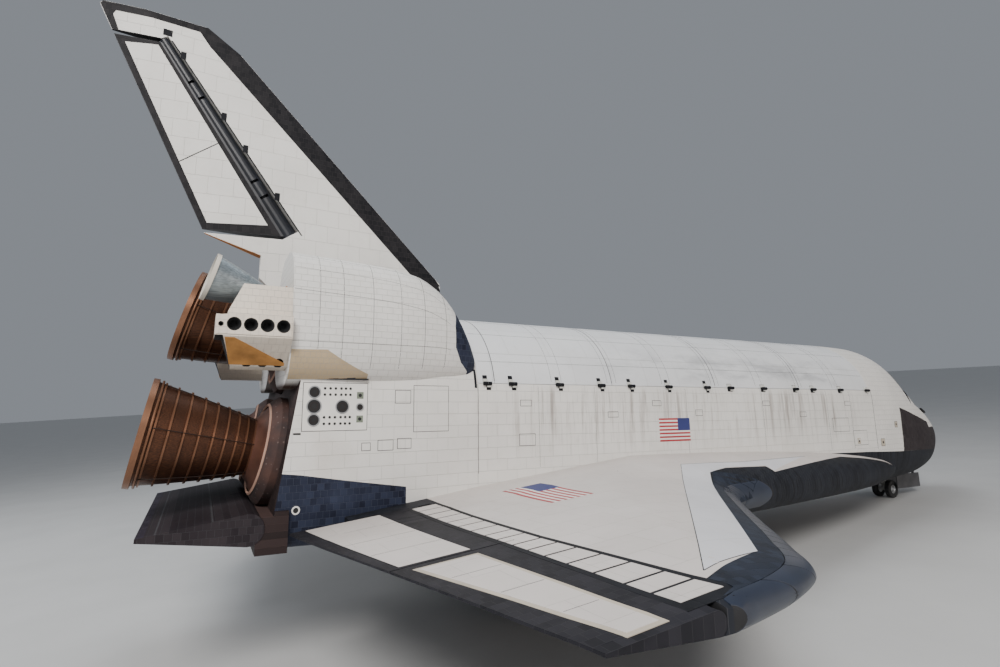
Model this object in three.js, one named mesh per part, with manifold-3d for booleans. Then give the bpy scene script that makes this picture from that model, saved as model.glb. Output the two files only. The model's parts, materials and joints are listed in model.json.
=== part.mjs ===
// A reusable space plane on its landing gear, built as separate solids.
//
// The shape is drawn in the vehicle's own stations, in inches: X runs aft from
// ahead of the nose, Y runs to starboard and Z runs up. The outer groups turn
// that into millimetres with +X forward, +Y to port and +Z up, and lower the
// nose by the angle at which the vehicle stands on its wheels.
import * as THREE from "three";
import { mergeVertices } from "three/addons/utils/BufferGeometryUtils.js";
import Module from "manifold-3d";

const wasm = await Module();
wasm.setup();

const MM_PER_INCH = 25.4;
const SEAT = 0.3 / MM_PER_INCH; // the gap between pieces that touch
const RUN = 6 / MM_PER_INCH; // the gap beside a piece that moves
const rad = THREE.MathUtils.degToRad;

// How it stands
const NOSE_DOWN = rad(3.51);
const MAIN_AXLE_X = 1172;
const MAIN_GROUND_Z = 170.3;
const NOSE_AXLE_X = 378;

// Body stations
const NOSE_TIP_X = 236;
const NOSE_CAP_X = 262;
const CREW_END_X = 577;
const BAY_X = [582, 1307];
const BAY_RADIUS = 90;
const BAY_AXIS_Z = 400;
const SILL_Z = 416;
const SKIN = 3;
const BEYOND_Y = 200; // half width of a cutter that passes right through

// Wing planform
const WING_TIP_Y = 468.34;
const ELEVON_HINGE_X = 1387;
const ELEVON_ROOT_Y = 138;
const ELEVON_SPLIT_Y = 312.5;

// Fin planform
const FIN_ROOT_Z = 503;
const FIN_FOOT_Z = 500;
const FIN_TIP_Z = 818.72;
const RUDDER_Z = [583, 790];

const material = (color, roughness, metalness = 0) =>
  new THREE.MeshStandardMaterial({ color, roughness, metalness });
const finish = {
  blanket: material(0xd9d6d0, 0.85),
  tile: material(0x26262b, 0.6),
  carbon: material(0x3a3d45, 0.5),
  nozzle: material(0x6b4230, 0.45, 0.7),
  thruster: material(0x8fa3ab, 0.4, 0.5),
  metal: material(0xb9bbbd, 0.35, 0.9),
  rubber: material(0x1c1c1c, 0.9),
  glass: material(0x11161c, 0.1),
  interior: material(0x8f938f, 0.7),
  radiator: material(0xe4e6e8, 0.2, 0.6),
  shield: material(0x5a3a35, 0.8),
};

// Solids

function solidOf(geometry) {
  const plain = geometry.index ? geometry.toNonIndexed() : geometry.clone();
  const bare = new THREE.BufferGeometry().setAttribute(
    "position",
    plain.getAttribute("position"),
  );
  const merged = mergeVertices(bare, 1e-4);
  const make = (triVerts) =>
    new wasm.Manifold(
      new wasm.Mesh({
        numProp: 3,
        vertProperties: merged.attributes.position.array,
        triVerts,
      }),
    );
  const corners = new Uint32Array(merged.index.array);
  const made = make(corners);
  if (made.volume() >= 0) return made;
  for (let i = 0; i < corners.length; i += 3) {
    [corners[i + 1], corners[i + 2]] = [corners[i + 2], corners[i + 1]];
  }
  return make(corners);
}

function geometryOf(solid) {
  const { numProp, numVert, vertProperties, triVerts } = solid.getMesh();
  const position = new Float32Array(numVert * 3);
  for (let i = 0; i < numVert; i++) {
    position.set(vertProperties.subarray(i * numProp, i * numProp + 3), i * 3);
  }
  const geometry = new THREE.BufferGeometry()
    .setAttribute("position", new THREE.BufferAttribute(position, 3))
    .setIndex(new THREE.BufferAttribute(triVerts, 1));
  geometry.computeVertexNormals();
  return geometry;
}

const join = (first, ...rest) => rest.reduce((a, b) => a.add(b), first);
const cut = (first, ...rest) => rest.reduce((a, b) => a.subtract(b), first);
const mirrored = (solid) => solid.mirror([0, 1, 0]);
const placed = (solid, matrix) => solid.transform(matrix.toArray());

const gapBetween = (p, q) => Math.hypot(p[0] - q[0], p[1] - q[1], p[2] - q[2]);

// A closed skin through rings of points that all have the same count.
function loft(rings) {
  const count = rings[0].length;
  const position = rings.flat(2);
  const index = [];
  for (let i = 0; i + 1 < rings.length; i++) {
    for (let j = 0; j < count; j++) {
      const k = (j + 1) % count;
      const a = i * count + j;
      const b = i * count + k;
      // Each four-sided patch is split along its shorter diagonal
      const rising = gapBetween(rings[i][j], rings[i + 1][k]);
      const falling = gapBetween(rings[i][k], rings[i + 1][j]);
      if (rising < falling - 1e-6) {
        index.push(a, b, b + count, a, b + count, a + count);
      } else {
        index.push(a, b, a + count, b, b + count, a + count);
      }
    }
  }
  for (const [ring, start, flip] of [
    [rings[0], 0, true],
    [rings.at(-1), (rings.length - 1) * count, false],
  ]) {
    for (const [a, b, c] of capOf(ring)) {
      index.push(start + a, start + (flip ? c : b), start + (flip ? b : c));
    }
  }
  const geometry = new THREE.BufferGeometry()
    .setAttribute("position", new THREE.Float32BufferAttribute(position, 3))
    .setIndex(index);
  return solidOf(geometry);
}

// Triangles across one end of a loft, worked out in the plane the ring lies in.
function capOf(ring) {
  const points = ring.map((p) => new THREE.Vector3(...p));
  const normal = new THREE.Vector3();
  points.forEach((p, i) => {
    const q = points[(i + 1) % points.length];
    normal.add(new THREE.Vector3().crossVectors(p, q));
  });
  normal.normalize();
  const turn = new THREE.Quaternion().setFromUnitVectors(
    normal,
    new THREE.Vector3(0, 0, 1),
  );
  const flat = points.map((p) => {
    const q = p.clone().applyQuaternion(turn);
    return new THREE.Vector2(q.x, q.y);
  });
  return THREE.ShapeUtils.triangulateShape(flat, []);
}

function box([x0, x1], [y0, y1], [z0, z1]) {
  const geometry = new THREE.BoxGeometry(x1 - x0, y1 - y0, z1 - z0);
  geometry.translate((x0 + x1) / 2, (y0 + y1) / 2, (z0 + z1) / 2);
  return solidOf(geometry);
}

// An outline in the plane across one axis, run from one place on it to another.
const prismX = (outline, [x0, x1]) =>
  loft([x0, x1].map((x) => outline.map(([y, z]) => [x, y, z])));
const prismY = (outline, [y0, y1]) =>
  loft([y0, y1].map((y) => outline.map(([x, z]) => [x, y, z])));

// A closed profile of [along, radius] turned about the local X axis.
function turned(profile, sides = 32) {
  const points = profile.map(([s, r]) => new THREE.Vector2(r, s));
  const geometry = new THREE.LatheGeometry([...points, points[0]], sides);
  geometry.rotateZ(-Math.PI / 2);
  return solidOf(geometry);
}
const rod = (length, r0, r1 = r0, sides = 24) =>
  turned([[0, 0], [0, r0], [length, r1], [length, 0]], sides);

// A rod between two points.
function strut(from, to, r0, r1 = r0, sides = 8) {
  const start = new THREE.Vector3(...from);
  const along = new THREE.Vector3(...to).sub(start);
  const turn = new THREE.Quaternion().setFromUnitVectors(
    new THREE.Vector3(1, 0, 0),
    along.clone().normalize(),
  );
  const matrix = new THREE.Matrix4().compose(
    start,
    turn,
    new THREE.Vector3(1, 1, 1),
  );
  return placed(rod(along.length(), r0, r1, sides), matrix);
}
const ring = (count, at) =>
  Array.from({ length: count }, (_, i) => at((2 * Math.PI * i) / count));

// Body: one section table, with power the squareness of each corner
// X, top Z, widest Z, bottom Z, half width, top power, bottom power, spread
const bodySections = [
  [236.0, 337, 334, 331, 3, 2, 2, 0],
  [238.5, 345, 334, 324, 11, 2, 2, 0],
  [244.0, 355, 334, 314, 21, 2, 2, 0],
  [254.0, 366, 334, 302, 33, 2, 2, 0],
  [270.0, 379, 334, 290, 45, 2, 2.1, 0],
  [300.0, 397, 335, 278, 59, 2, 2.3, 0],
  [330.0, 411, 336, 271, 70, 2, 2.6, 0],
  [362.0, 425, 338, 267, 78, 2, 2.9, 0],
  [392.0, 454, 340, 264.5, 84, 2, 3.2, 0],
  [424.0, 480, 345, 263, 89, 2, 3.5, 0],
  [455.0, 492, 360, 262.3, 94, 2, 4, 0],
  [500.0, 498.5, 380, 262, 99, 2, 5, 0],
  [577.0, 500, 398, 262, 103.5, 2, 7, 0],
  [650.0, 500, 400, 262, 104, 2, 9, 0],
  [1307.0, 500, 400, 262, 104, 2, 9, 0],
  [1372.0, 500, 403, 262.5, 110, 2.2, 9, 1],
  [1540.0, 500, 406, 268, 121, 2.6, 9, 7],
];
const BODY_STEPS = 6;

function bodyRing([x, top, side, bottom, half, powerUp, powerDown, spread], inset) {
  const quarter = (power, rise) =>
    Array.from({ length: BODY_STEPS + 1 }, (_, i) => {
      const angle = (Math.PI / 2) * (i / BODY_STEPS);
      const out = Math.cos(angle) ** (2 / power);
      const up = Math.sin(angle) ** (2 / power);
      return [i === BODY_STEPS ? 0 : out, rise * up];
    });
  const upper = quarter(powerUp, top - inset - side).map(([out, up]) => [
    out * (half - inset),
    side + up,
  ]);
  const lower = quarter(powerDown, bottom + inset - side).map(([out, up]) => [
    out * (half - inset + (spread * up) / (bottom - side)),
    side + up,
  ]);
  const right = [...lower.slice(1).reverse(), ...upper];
  const left = right.slice(1, -1).reverse().map(([y, z]) => [-y, z]);
  return [...right, ...left].map(([y, z]) => [x, y, z]);
}

// The body between two stations, drawn in from its outer face by an inset
function body(inset, x0, x1) {
  const used = inset > 0 ? bodySections.filter(([, , , , half]) => half > 30) : bodySections;
  const whole = loft(used.map((section) => bodyRing(section, inset)));
  return whole.intersect(box([x0, x1], [-200, 200], [200, 600]));
}

// Flat bosses under the belly that take a carrier or a tank
const bosses = {
  forward: { x: [404, 420], y: [-8, 8], z: [260.5, 266] },
  aft: { x: [1310, 1324], y: [90, 103], z: [260.5, 284] },
};
const bossBox = ({ x, y, z }, gap = 0) =>
  box([x[0] - gap, x[1] + gap], [y[0] - gap, y[1] + gap], [z[0] - gap, z[1] + gap]);

// Nose and crew section

const NOSE_END = NOSE_CAP_X + 2;
const thrusterModule = {
  x: [270, 352],
  half: 90,
  z: [352, 480],
  port: { radius: 4.4, depth: 9, reach: 14, throat: 0.7, mouth: 1.25 },
  noseRow: { x: 292, y: [-13, 0, 13], z: 394 },
  // X, Y and Z of the ports in each side
  sidePorts: [[318, 55, 381], [332, 59, 384]],
};
// Room behind the frames for the glazing, ahead of the crew and over them
const glazingRoom = {
  front: { x: [356, 434], half: 84, z: [392, 495] },
  overhead: { x: [446, 480], half: 36, z: [470, 499] },
};
const glass = { outer: 1.2, inner: 2.4 };
const noseWell = { x: [292, 398], half: 18, top: 300 };
const hatch = { x: 430, z: 362, radius: 20, hingeY: -91.4, hingeZ: 340.4, pin: 1.1 };

function buildNose() {
  const { x, half, z, port, noseRow, sidePorts } = thrusterModule;
  const cap = body(0, NOSE_TIP_X, NOSE_CAP_X);
  const moduleBox = (gap) => box([x[0] - gap, x[1] + gap], [-half, half], [z[0] - gap, z[1]]);
  const cup = (at, direction) => {
    const to = at.map((value, i) => value + direction[i] * port.reach);
    const from = at.map((value, i) => value - direction[i] * port.depth);
    return strut(from, to, port.radius * port.throat, port.radius * port.mouth, 10);
  };
  const forwardUp = [-0.72, 0, 0.7];
  const cups = noseRow.y.map((y) => cup([noseRow.x, y, noseRow.z], forwardUp));
  for (const side of [-1, 1]) {
    const outUp = [0, side * 0.85, 0.52];
    cups.push(...sidePorts.map(([px, py, pz]) => cup([px, side * py, pz], outUp)));
  }
  const upperHalf = body(0, NOSE_CAP_X + 1, x[1] + 2);
  return { cap, thrusters: cut(upperHalf.intersect(moduleBox(0)), ...cups), moduleBox };
}

function windowPanes() {
  const panes = [];
  for (const side of [-1, 1]) {
    // Outline of each pane seen from above, in [X, Y]
    for (const [outline, z] of [
      [[[370, 2], [398, 2], [404, 24], [376, 28]], [425, 490]],
      [[[377, 31], [405, 27], [414, 46], [388, 56]], [410, 490]],
      [[[390, 58], [415, 49], [430, 62], [412, 78]], [395, 490]],
    ]) {
      const rings = z.map((height) => outline.map(([x, y]) => [x, side * y, height]));
      panes.push(loft(rings));
    }
  }
  return panes;
}

const overheadPanes = [-1, 1].map((side) =>
  loft(
    [470, 510].map((z) =>
      [[452, 8], [474, 8], [474, 30], [452, 28]].map(([x, y]) => [x, side * y, z]),
    ),
  ),
);

function buildForwardBody({ moduleBox }) {
  const end = CREW_END_X - SEAT;
  const start = NOSE_CAP_X + SEAT;
  let shell = cut(
    body(0, start, end),
    body(SKIN, NOSE_END, end + 1),
    moduleBox(SEAT),
    box(noseWell.x, [-noseWell.half, noseWell.half], [240, noseWell.top]),
  );
  const room = ({ x, half, z }, gap) =>
    box([x[0] - gap, x[1] + gap], [-half - gap, half + gap], [z[0] - gap, z[1]]);
  const band = (inset, gap) =>
    body(inset, 340, 560).intersect(
      join(room(glazingRoom.front, gap), room(glazingRoom.overhead, gap)),
    );
  shell = cut(shell, band(glass.outer, 0), ...windowPanes(), ...overheadPanes);
  const glazing = cut(band(glass.outer + SEAT, -SEAT), body(glass.inner, 341, 559));
  const [largestPane] = glazing.decompose().sort((a, b) => b.volume() - a.volume());
  const { x, z, radius, hingeY, hingeZ, pin } = hatch;
  const plug = (r) => strut([x, -125, z], [x, -65, z], r, r, 32);
  const door = cut(body(0, start, end), body(SKIN, NOSE_END, end + 1)).intersect(plug(radius));
  const pinAlong = (x0, x1) => strut([x0, hingeY, hingeZ], [x1, hingeY, hingeZ], pin);
  const ears = [[x - 6, x - 2 - SEAT], [x + 2 + SEAT, x + 6]].flatMap((span) => [
    pinAlong(...span),
    box(span, [hingeY, hingeY + 3], [hingeZ - pin, hingeZ]),
  ]);
  const leaf = [
    pinAlong(x - 2, x + 2),
    box([x - 2, x + 2], [hingeY - 0.8, hingeY + 0.8], [hingeZ, hingeZ + 3.4]),
    box([x - 2, x + 2], [hingeY - 0.8, hingeY + 2.5], [hingeZ + 1.7, hingeZ + 3.4]),
  ];
  return {
    shell: join(shell.subtract(plug(radius + RUN)), ...ears, bossBox(bosses.forward)),
    glazing: largestPane,
    door: join(door, ...leaf),
  };
}

const cabin = {
  x: [300, 573],
  floor: [318, 326],
  deck: { x: [405, 573], z: [404, 409] },
  front: { x: [386, 406], top: 414 },
  wall: 6,
  top: 497,
  seats: { x: 432, y: [-20, 20], half: 9, depth: 20 },
};

function buildCrewModule() {
  const { x, floor, deck, front, wall, top, seats } = cabin;
  const inside = body(SKIN + SEAT, NOSE_END + SEAT, CREW_END_X - 2 * SEAT);
  const slab = (along, up) => box(along, [-120, 120], up);
  const base = deck.z[0] + 4;
  const seat = (y) =>
    join(
      box([seats.x, seats.x + seats.depth], [y - seats.half, y + seats.half], [base, 424]),
      box([seats.x + 17, seats.x + 23], [y - seats.half, y + seats.half], [420, 452]),
    );
  const panel = box([405.5, 415], [-46, 46], [base, 430]);
  const pedestal = box([425, 470], [-7, 7], [base, 420]);
  return join(
    slab(x, floor),
    slab(deck.x, deck.z),
    slab([x[1] - wall, x[1]], [floor[0], top]),
    slab(front.x, [floor[0], front.top]),
    ...seats.y.map(seat),
    panel,
    pedestal,
  ).intersect(inside);
}

// Payload bay

function bayCavity() {
  const arc = ring(36, (a) => [BAY_RADIUS * Math.cos(a), BAY_AXIS_Z + BAY_RADIUS * Math.sin(a)]);
  return join(
    prismX(arc, BAY_X),
    box(BAY_X, [-BAY_RADIUS, BAY_RADIUS], [BAY_AXIS_Z, 510]),
  );
}

// Hinges of the payload bay doors, each at the middle of its knuckle
const hinges = {
  x: [590, 662, 731, 773, 845, 914, 960, 1030, 1093, 1140, 1201, 1264, 1296],
  y: 105.3,
  z: SILL_Z,
  radius: 1.9,
  half: 4.5,
};

const knuckle = (x0, x1) =>
  strut([x0, hinges.y, hinges.z], [x1, hinges.y, hinges.z], hinges.radius, hinges.radius, 6);

function buildMidBody() {
  const end = BAY_X[1] - SEAT;
  const tub = body(0, CREW_END_X + SEAT, end);
  const above = box([BAY_X[0], 1400], [-130, 130], [SILL_Z, 520]);
  const mid = cut(tub, above, bayCavity());
  const brackets = hinges.x.map((x) => {
    const span = [x - hinges.half, x - SEAT];
    return join(knuckle(...span), box(span, [100, hinges.y], [SILL_Z - 4, SILL_Z - 0.5]));
  });
  return join(mid, ...brackets, ...brackets.map(mirrored));
}

function buildDoor() {
  const thickness = 4;
  const half = box([BAY_X[0] + RUN, BAY_X[1] - RUN], [RUN / 2, 130], [SILL_Z + 2.4, 520]);
  const skin = cut(
    body(0, BAY_X[0] + RUN / 2, BAY_X[1] - RUN / 2),
    body(thickness, BAY_X[0] - 5, BAY_X[1] + 5),
  ).intersect(half);
  const lugs = hinges.x.map((x) => {
    const span = [x, x + hinges.half];
    return join(knuckle(...span), box(span, [99, hinges.y], [SILL_Z + 0.6, SILL_Z + 5]));
  });
  return join(skin, ...lugs);
}

function buildRadiator() {
  const outer = 4 + SEAT;
  const span = box([606, 1180], [6, 96], [436, 520]);
  return cut(body(outer, 586, 1303), body(outer + 1.6, 585, 1304)).intersect(span);
}

// Aft body: base plane, domes and engines

const basePlane = { x: 1507, z: 334, slope: -0.152 };
const baseX = (z) => basePlane.x + (z - basePlane.z) * basePlane.slope;
const HULL_END_X = 1531.9;

// Everything behind the slanted base plane between two heights
const behindBase = ([low, high], gap = 0) =>
  prismY(
    [[baseX(low) + gap, low], [1650, low], [1650, high], [baseX(high) + gap, high]],
    [-BEYOND_Y, BEYOND_Y],
  );
// Gimbal point, tilt up and outward in degrees, and the inner radius of the dome's foot
const engines = [
  { name: "centre", at: [1445, 0, 443], up: 16, out: 0, foot: 40 },
  { name: "starboard", at: [1468.17, 53, 342.64], up: 10, out: 3.5, foot: 32 },
  { name: "port", at: [1468.17, -53, 342.64], up: 10, out: -3.5, foot: 32 },
];
const dome = { radius: 69, skin: 1.2, rimAngle: rad(36.5), baseAngle: rad(47.5), sides: 20 };
const domeFoot = dome.radius * Math.sin(dome.baseAngle);
const flap = { hinge: [1532, 291], nose: 13, tip: [1613, 290.5], half: 127 };

function engineMatrix({ at, up, out }) {
  return new THREE.Matrix4()
    .makeTranslation(...at)
    .multiply(new THREE.Matrix4().makeRotationZ(rad(out)))
    .multiply(new THREE.Matrix4().makeRotationY(-rad(up)));
}

// Each engine passes through the base inside a round hole that its dome fills
const domeHoles = engines.map((engine) =>
  placed(
    rod(90, domeFoot + SEAT, domeFoot + SEAT, dome.sides).translate([10, 0, 0]),
    engineMatrix(engine),
  ),
);
const centreRoom = placed(
  rod(170, domeFoot + 0.8, domeFoot + 0.8, dome.sides).translate([20, 0, 0]),
  engineMatrix(engines[0]),
);

function buildAftBody() {
  const start = BAY_X[1] + SEAT;
  const wall = 4;
  const hull = body(0, start, HULL_END_X).subtract(behindBase([250, 520]));
  const cavity = body(wall, start + 5, HULL_END_X - 0.4).subtract(behindBase([250, 520], -3));
  const hollow = cut(hull.subtract(cavity), ...domeHoles);
  const [hingeX, hingeZ] = flap.hinge;
  const across = [-flap.half - 13, flap.half + 13];
  const shelf = cut(
    box([1500, 1531], [-flap.half + 0.5, flap.half - 0.5], [270, 304]),
    flapRound(flap.nose + RUN, across),
    box([hingeX - 3.5, 1600], across, [hingeZ, 320]),
    box([hingeX - 6, 1600], across, [250, hingeZ]),
    behindBase([300, 400]),
    ...domeHoles,
  );
  const boss = bossBox(bosses.aft).subtract(cavity);
  return join(hollow, shelf, flapPlate(), boss, mirrored(boss));
}

const flapRound = (radius, y) =>
  prismY(
    ring(28, (a) => [flap.hinge[0] + radius * Math.cos(a), flap.hinge[1] + radius * Math.sin(a)]),
    y,
  );

// The plate in the middle of the shelf that the flap turns round
function flapPlate() {
  const [x, z] = flap.hinge;
  return join(flapRound(8, [-1, 1]), box([x - 24, x], [-1, 1], [z - 6, z + 6]));
}

function buildFlap() {
  const [x, z] = flap.hinge;
  const [tx, tz] = flap.tip;
  const profile = [[x, z - flap.nose], [tx, tz - 1.5], [tx, tz + 1.5], [x, z + flap.nose]];
  const slot = join(
    flapRound(flap.nose + 1, [-1 - SEAT, 1 + SEAT]),
    box([x - 20, x + 9.5], [-1 - SEAT, 1 + SEAT], [z - 14, z + 14]),
  );
  return cut(
    join(prismY(profile, [-flap.half, flap.half]), flapRound(flap.nose, [-flap.half, flap.half])),
    slot,
  );
}

// The main engine bell: radius at each distance behind the gimbal point
const bell = { throat: 40, length: 157, exit: 46.5, neck: 15, wall: 1.2 };
const bellRadius = (s) =>
  bell.neck + (bell.exit - bell.neck) * ((s - bell.throat) / (bell.length - bell.throat)) ** 0.68;

const gimbalBall = 3;
const ENGINE_SIDES = 18;

function buildEngine() {
  const hoopAt = [80, 96, 111, 125, 139];
  const hoops = hoopAt.flatMap((s) => {
    const r = bellRadius(s);
    return [[s - 1, r], [s, r + 1.9], [s + 1, r + 0.3]];
  });
  const inside = [140, 105, 75, 56].map((s) => [s, bellRadius(s) - bell.wall]);
  const ball = [-90, -35, 25].map((angle) => [
    gimbalBall * Math.sin(rad(angle)),
    gimbalBall * Math.cos(rad(angle)) * (angle === -90 ? 0 : 1),
  ]);
  // The shield that the engine carries inside the fixed dome
  const rim = dome.radius - dome.skin - RUN - 1;
  const arc = [37, 29].map((angle) => [rim * Math.cos(rad(angle)), rim * Math.sin(rad(angle))]);
  const under = arc.map(([s, r]) => [s - 1.6, r - 1.2]).reverse();
  return turned(
    [
      ...ball, [6, 9], [14, 26], [36, 26], [40, bellRadius(40)], [48, bellRadius(48)],
      [61, bellRadius(61)], ...under, ...arc, [64.5, bellRadius(64.5)],
      ...hoops, [153, bellRadius(153)], [153.5, bell.exit + 1.3], [157, bell.exit + 1.3],
      [157, bell.exit - 0.4], ...inside, [50, 6], [50, 0],
    ],
    ENGINE_SIDES,
  );
}

function buildDome(foot) {
  const { radius, skin, rimAngle, baseAngle } = dome;
  const point = (r, angle) => [r * Math.cos(angle), r * Math.sin(angle)];
  const outer = [rimAngle, baseAngle].map((angle) => point(radius, angle));
  const inner = [baseAngle, rimAngle].map((angle) => point(radius - skin, angle));
  const outerBase = outer[1][1];
  const innerBase = inner[0][1];
  return turned([...outer, [foot, outerBase], [foot, innerBase], ...inner], dome.sides);
}

function buildThrustStructure() {
  const [upper, lower] = engines.map(({ at }) => at);
  const start = BAY_X[1] + 5 + SEAT * 2;
  const beams = [];
  for (const engine of engines) {
    const along = new THREE.Vector3(1, 0, 0).transformDirection(engineMatrix(engine));
    const onAxis = (s) => along.clone().multiplyScalar(s).add(new THREE.Vector3(...engine.at));
    const [, y, z] = engine.at;
    beams.push(
      strut([start, y, z], [engine.at[0] - 24, y, z], 14, 9),
      strut(onAxis(-30).toArray(), onAxis(-gimbalBall - SEAT).toArray(), 8, 4),
    );
  }
  const crossX = 1380;
  const corners = [[0, upper[2]], [lower[1], lower[2]], [-lower[1], lower[2]]];
  corners.forEach(([y, z], i) => {
    const [nextY, nextZ] = corners[(i + 1) % corners.length];
    beams.push(strut([crossX, y, z], [crossX, nextY, nextZ], 6));
  });
  return join(...beams);
}

// Orbital pods: X, inner Y, outer Y, top Z, bottom Z, power
const podSections = [
  [1311, 88, 103, 447, 428, 2],
  [1318, 72, 109, 466, 422, 2.1],
  [1332, 56, 116, 493, 417, 2.2],
  [1352, 42, 122, 517, 413, 2.3],
  [1380, 32, 128, 531, 409, 2.5],
  [1420, 27, 133, 536, 408, 2.7],
  [1508, 26, 139, 539, 408, 2.9],
];
const POD_STEPS = 22;
const omsGimbal = [1518, 88, 492];
const omsBall = 2;
const omsPlace = new THREE.Matrix4()
  .makeTranslation(...omsGimbal)
  .multiply(new THREE.Matrix4().makeRotationZ(rad(6.5)))
  .multiply(new THREE.Matrix4().makeRotationY(-rad(15.8)));
const housing = { x: [1508 + SEAT, 1569] };

function buildPod(aftHull) {
  const rings = podSections.map(([x, inner, outer, top, bottom, power]) =>
    ring(POD_STEPS, (a) => {
      const squared = (value) => Math.sign(value) * Math.abs(value) ** (2 / power);
      const y = (inner + outer) / 2 + ((outer - inner) / 2) * squared(Math.cos(a));
      const z = (top + bottom) / 2 + ((top - bottom) / 2) * squared(Math.sin(a));
      return [x, y, z];
    }),
  );
  const mount = placed(rod(22 - omsBall - SEAT, 6, 2.5, 8).translate([-22, 0, 0]), omsPlace);
  return join(cut(loft(rings), aftHull, centreRoom), mount);
}

function buildHousing() {
  const outline = [
    [108, 424], [122, 426], [149.5, 449], [149.5, 469],
    [141, 470], [138, 496], [108, 500],
  ];
  const past = 1600;
  const above = [[1545, 505], [1560, 471], [1560, 466.5], [past, 466.5], [past, 505]];
  const below = [[past, 449.5], [1563, 449.5], [1553, 420], [past, 420]];
  let made = cut(
    prismX(outline, housing.x), prismY(above, [90, 200]), prismY(below, [90, 200]),
  );
  const port = (at, direction, radius, depth = 12) => {
    const out = at.map((value, i) => value + direction[i]);
    const back = at.map((value, i) => value - direction[i] * depth);
    return strut(back, out, radius, radius, 9);
  };
  for (const x of [1516, 1529, 1542]) {
    made = cut(
      made,
      port([x, 149.6, 459], [0, 1, 0], 5.6),
      port([x, 128, 501], [0, 0, 1], 4.6, 14),
      port([x, 126, 429], [0, 0, -1], 4.4, 10),
    );
  }
  return cut(
    made,
    port([1555, 149.6, 459], [0, 1, 0], 5.6),
    port([1565, 149.6, 458.5], [0, 1, 0], 2, 3),
  );
}

function buildOmsBell() {
  const radius = (s) => 4 + 17.5 * ((s - 3) / 59) ** 0.62;
  const outside = [3, 8, 20, 38, 58].map((s) => [s, radius(s)]);
  const inside = [46, 18].map((s) => [s, radius(s) - 0.7]);
  const ball = [[-omsBall, 0], [-omsBall * 0.7, omsBall * 0.7], [0, omsBall]];
  return turned(
    [...ball, ...outside, [58.3, 22.3], [62, 22.3], [62, 21], ...inside, [12, 2], [12, 0]],
    16,
  );
}

// Fin, rudder and speed brake

// X at the fin's root and how far it moves aft with each inch of height
const finLine = (root, rake) => (z) => root + rake * (z - FIN_ROOT_Z);
const finLe = finLine(1266, 1.015);
const finTe = finLine(1549.38, 0.4931);
const finHinge = finLine(1441.98, 0.696);
const finHalf = finLine(13.887, -0.0262); // at the hinge line
// The panels' lowest and highest Z, and the fin's own edges under and over them
const PANEL_Z = [580.8, 784];
const FIN_GAP_Z = [577, 788.4];
const SPINE_SHARE = Math.cos(rad(34.8)); // of the fin's half width
const rudderAxis = {
  from: [finHinge(RUDDER_Z[0]), 0, RUDDER_Z[0]],
  to: [finHinge(RUDDER_Z[1]), 0, RUDDER_Z[1]],
};

function rudderFrame() {
  const along = new THREE.Vector3(...rudderAxis.to).sub(new THREE.Vector3(...rudderAxis.from));
  const length = along.length();
  along.normalize();
  const across = new THREE.Vector3(0, 1, 0);
  const aft = new THREE.Vector3().crossVectors(across, along);
  const matrix = new THREE.Matrix4()
    .makeBasis(along, across, aft.negate())
    .setPosition(...rudderAxis.from);
  return { matrix, length };
}

function finRing(z) {
  const half = finHalf(z);
  const le = finLe(z);
  const hinge = finHinge(z);
  const te = finTe(z);
  const noseAt = 0.03;
  return [
    [le, 0.6], [le + (hinge - le) * noseAt, half * 0.16], [hinge, half], [te, 0.9],
    [te, -0.9], [hinge, -half], [le + (hinge - le) * noseAt, -half * 0.16], [le, -0.6],
  ].map(([x, y]) => [x, y, z]);
}

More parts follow.
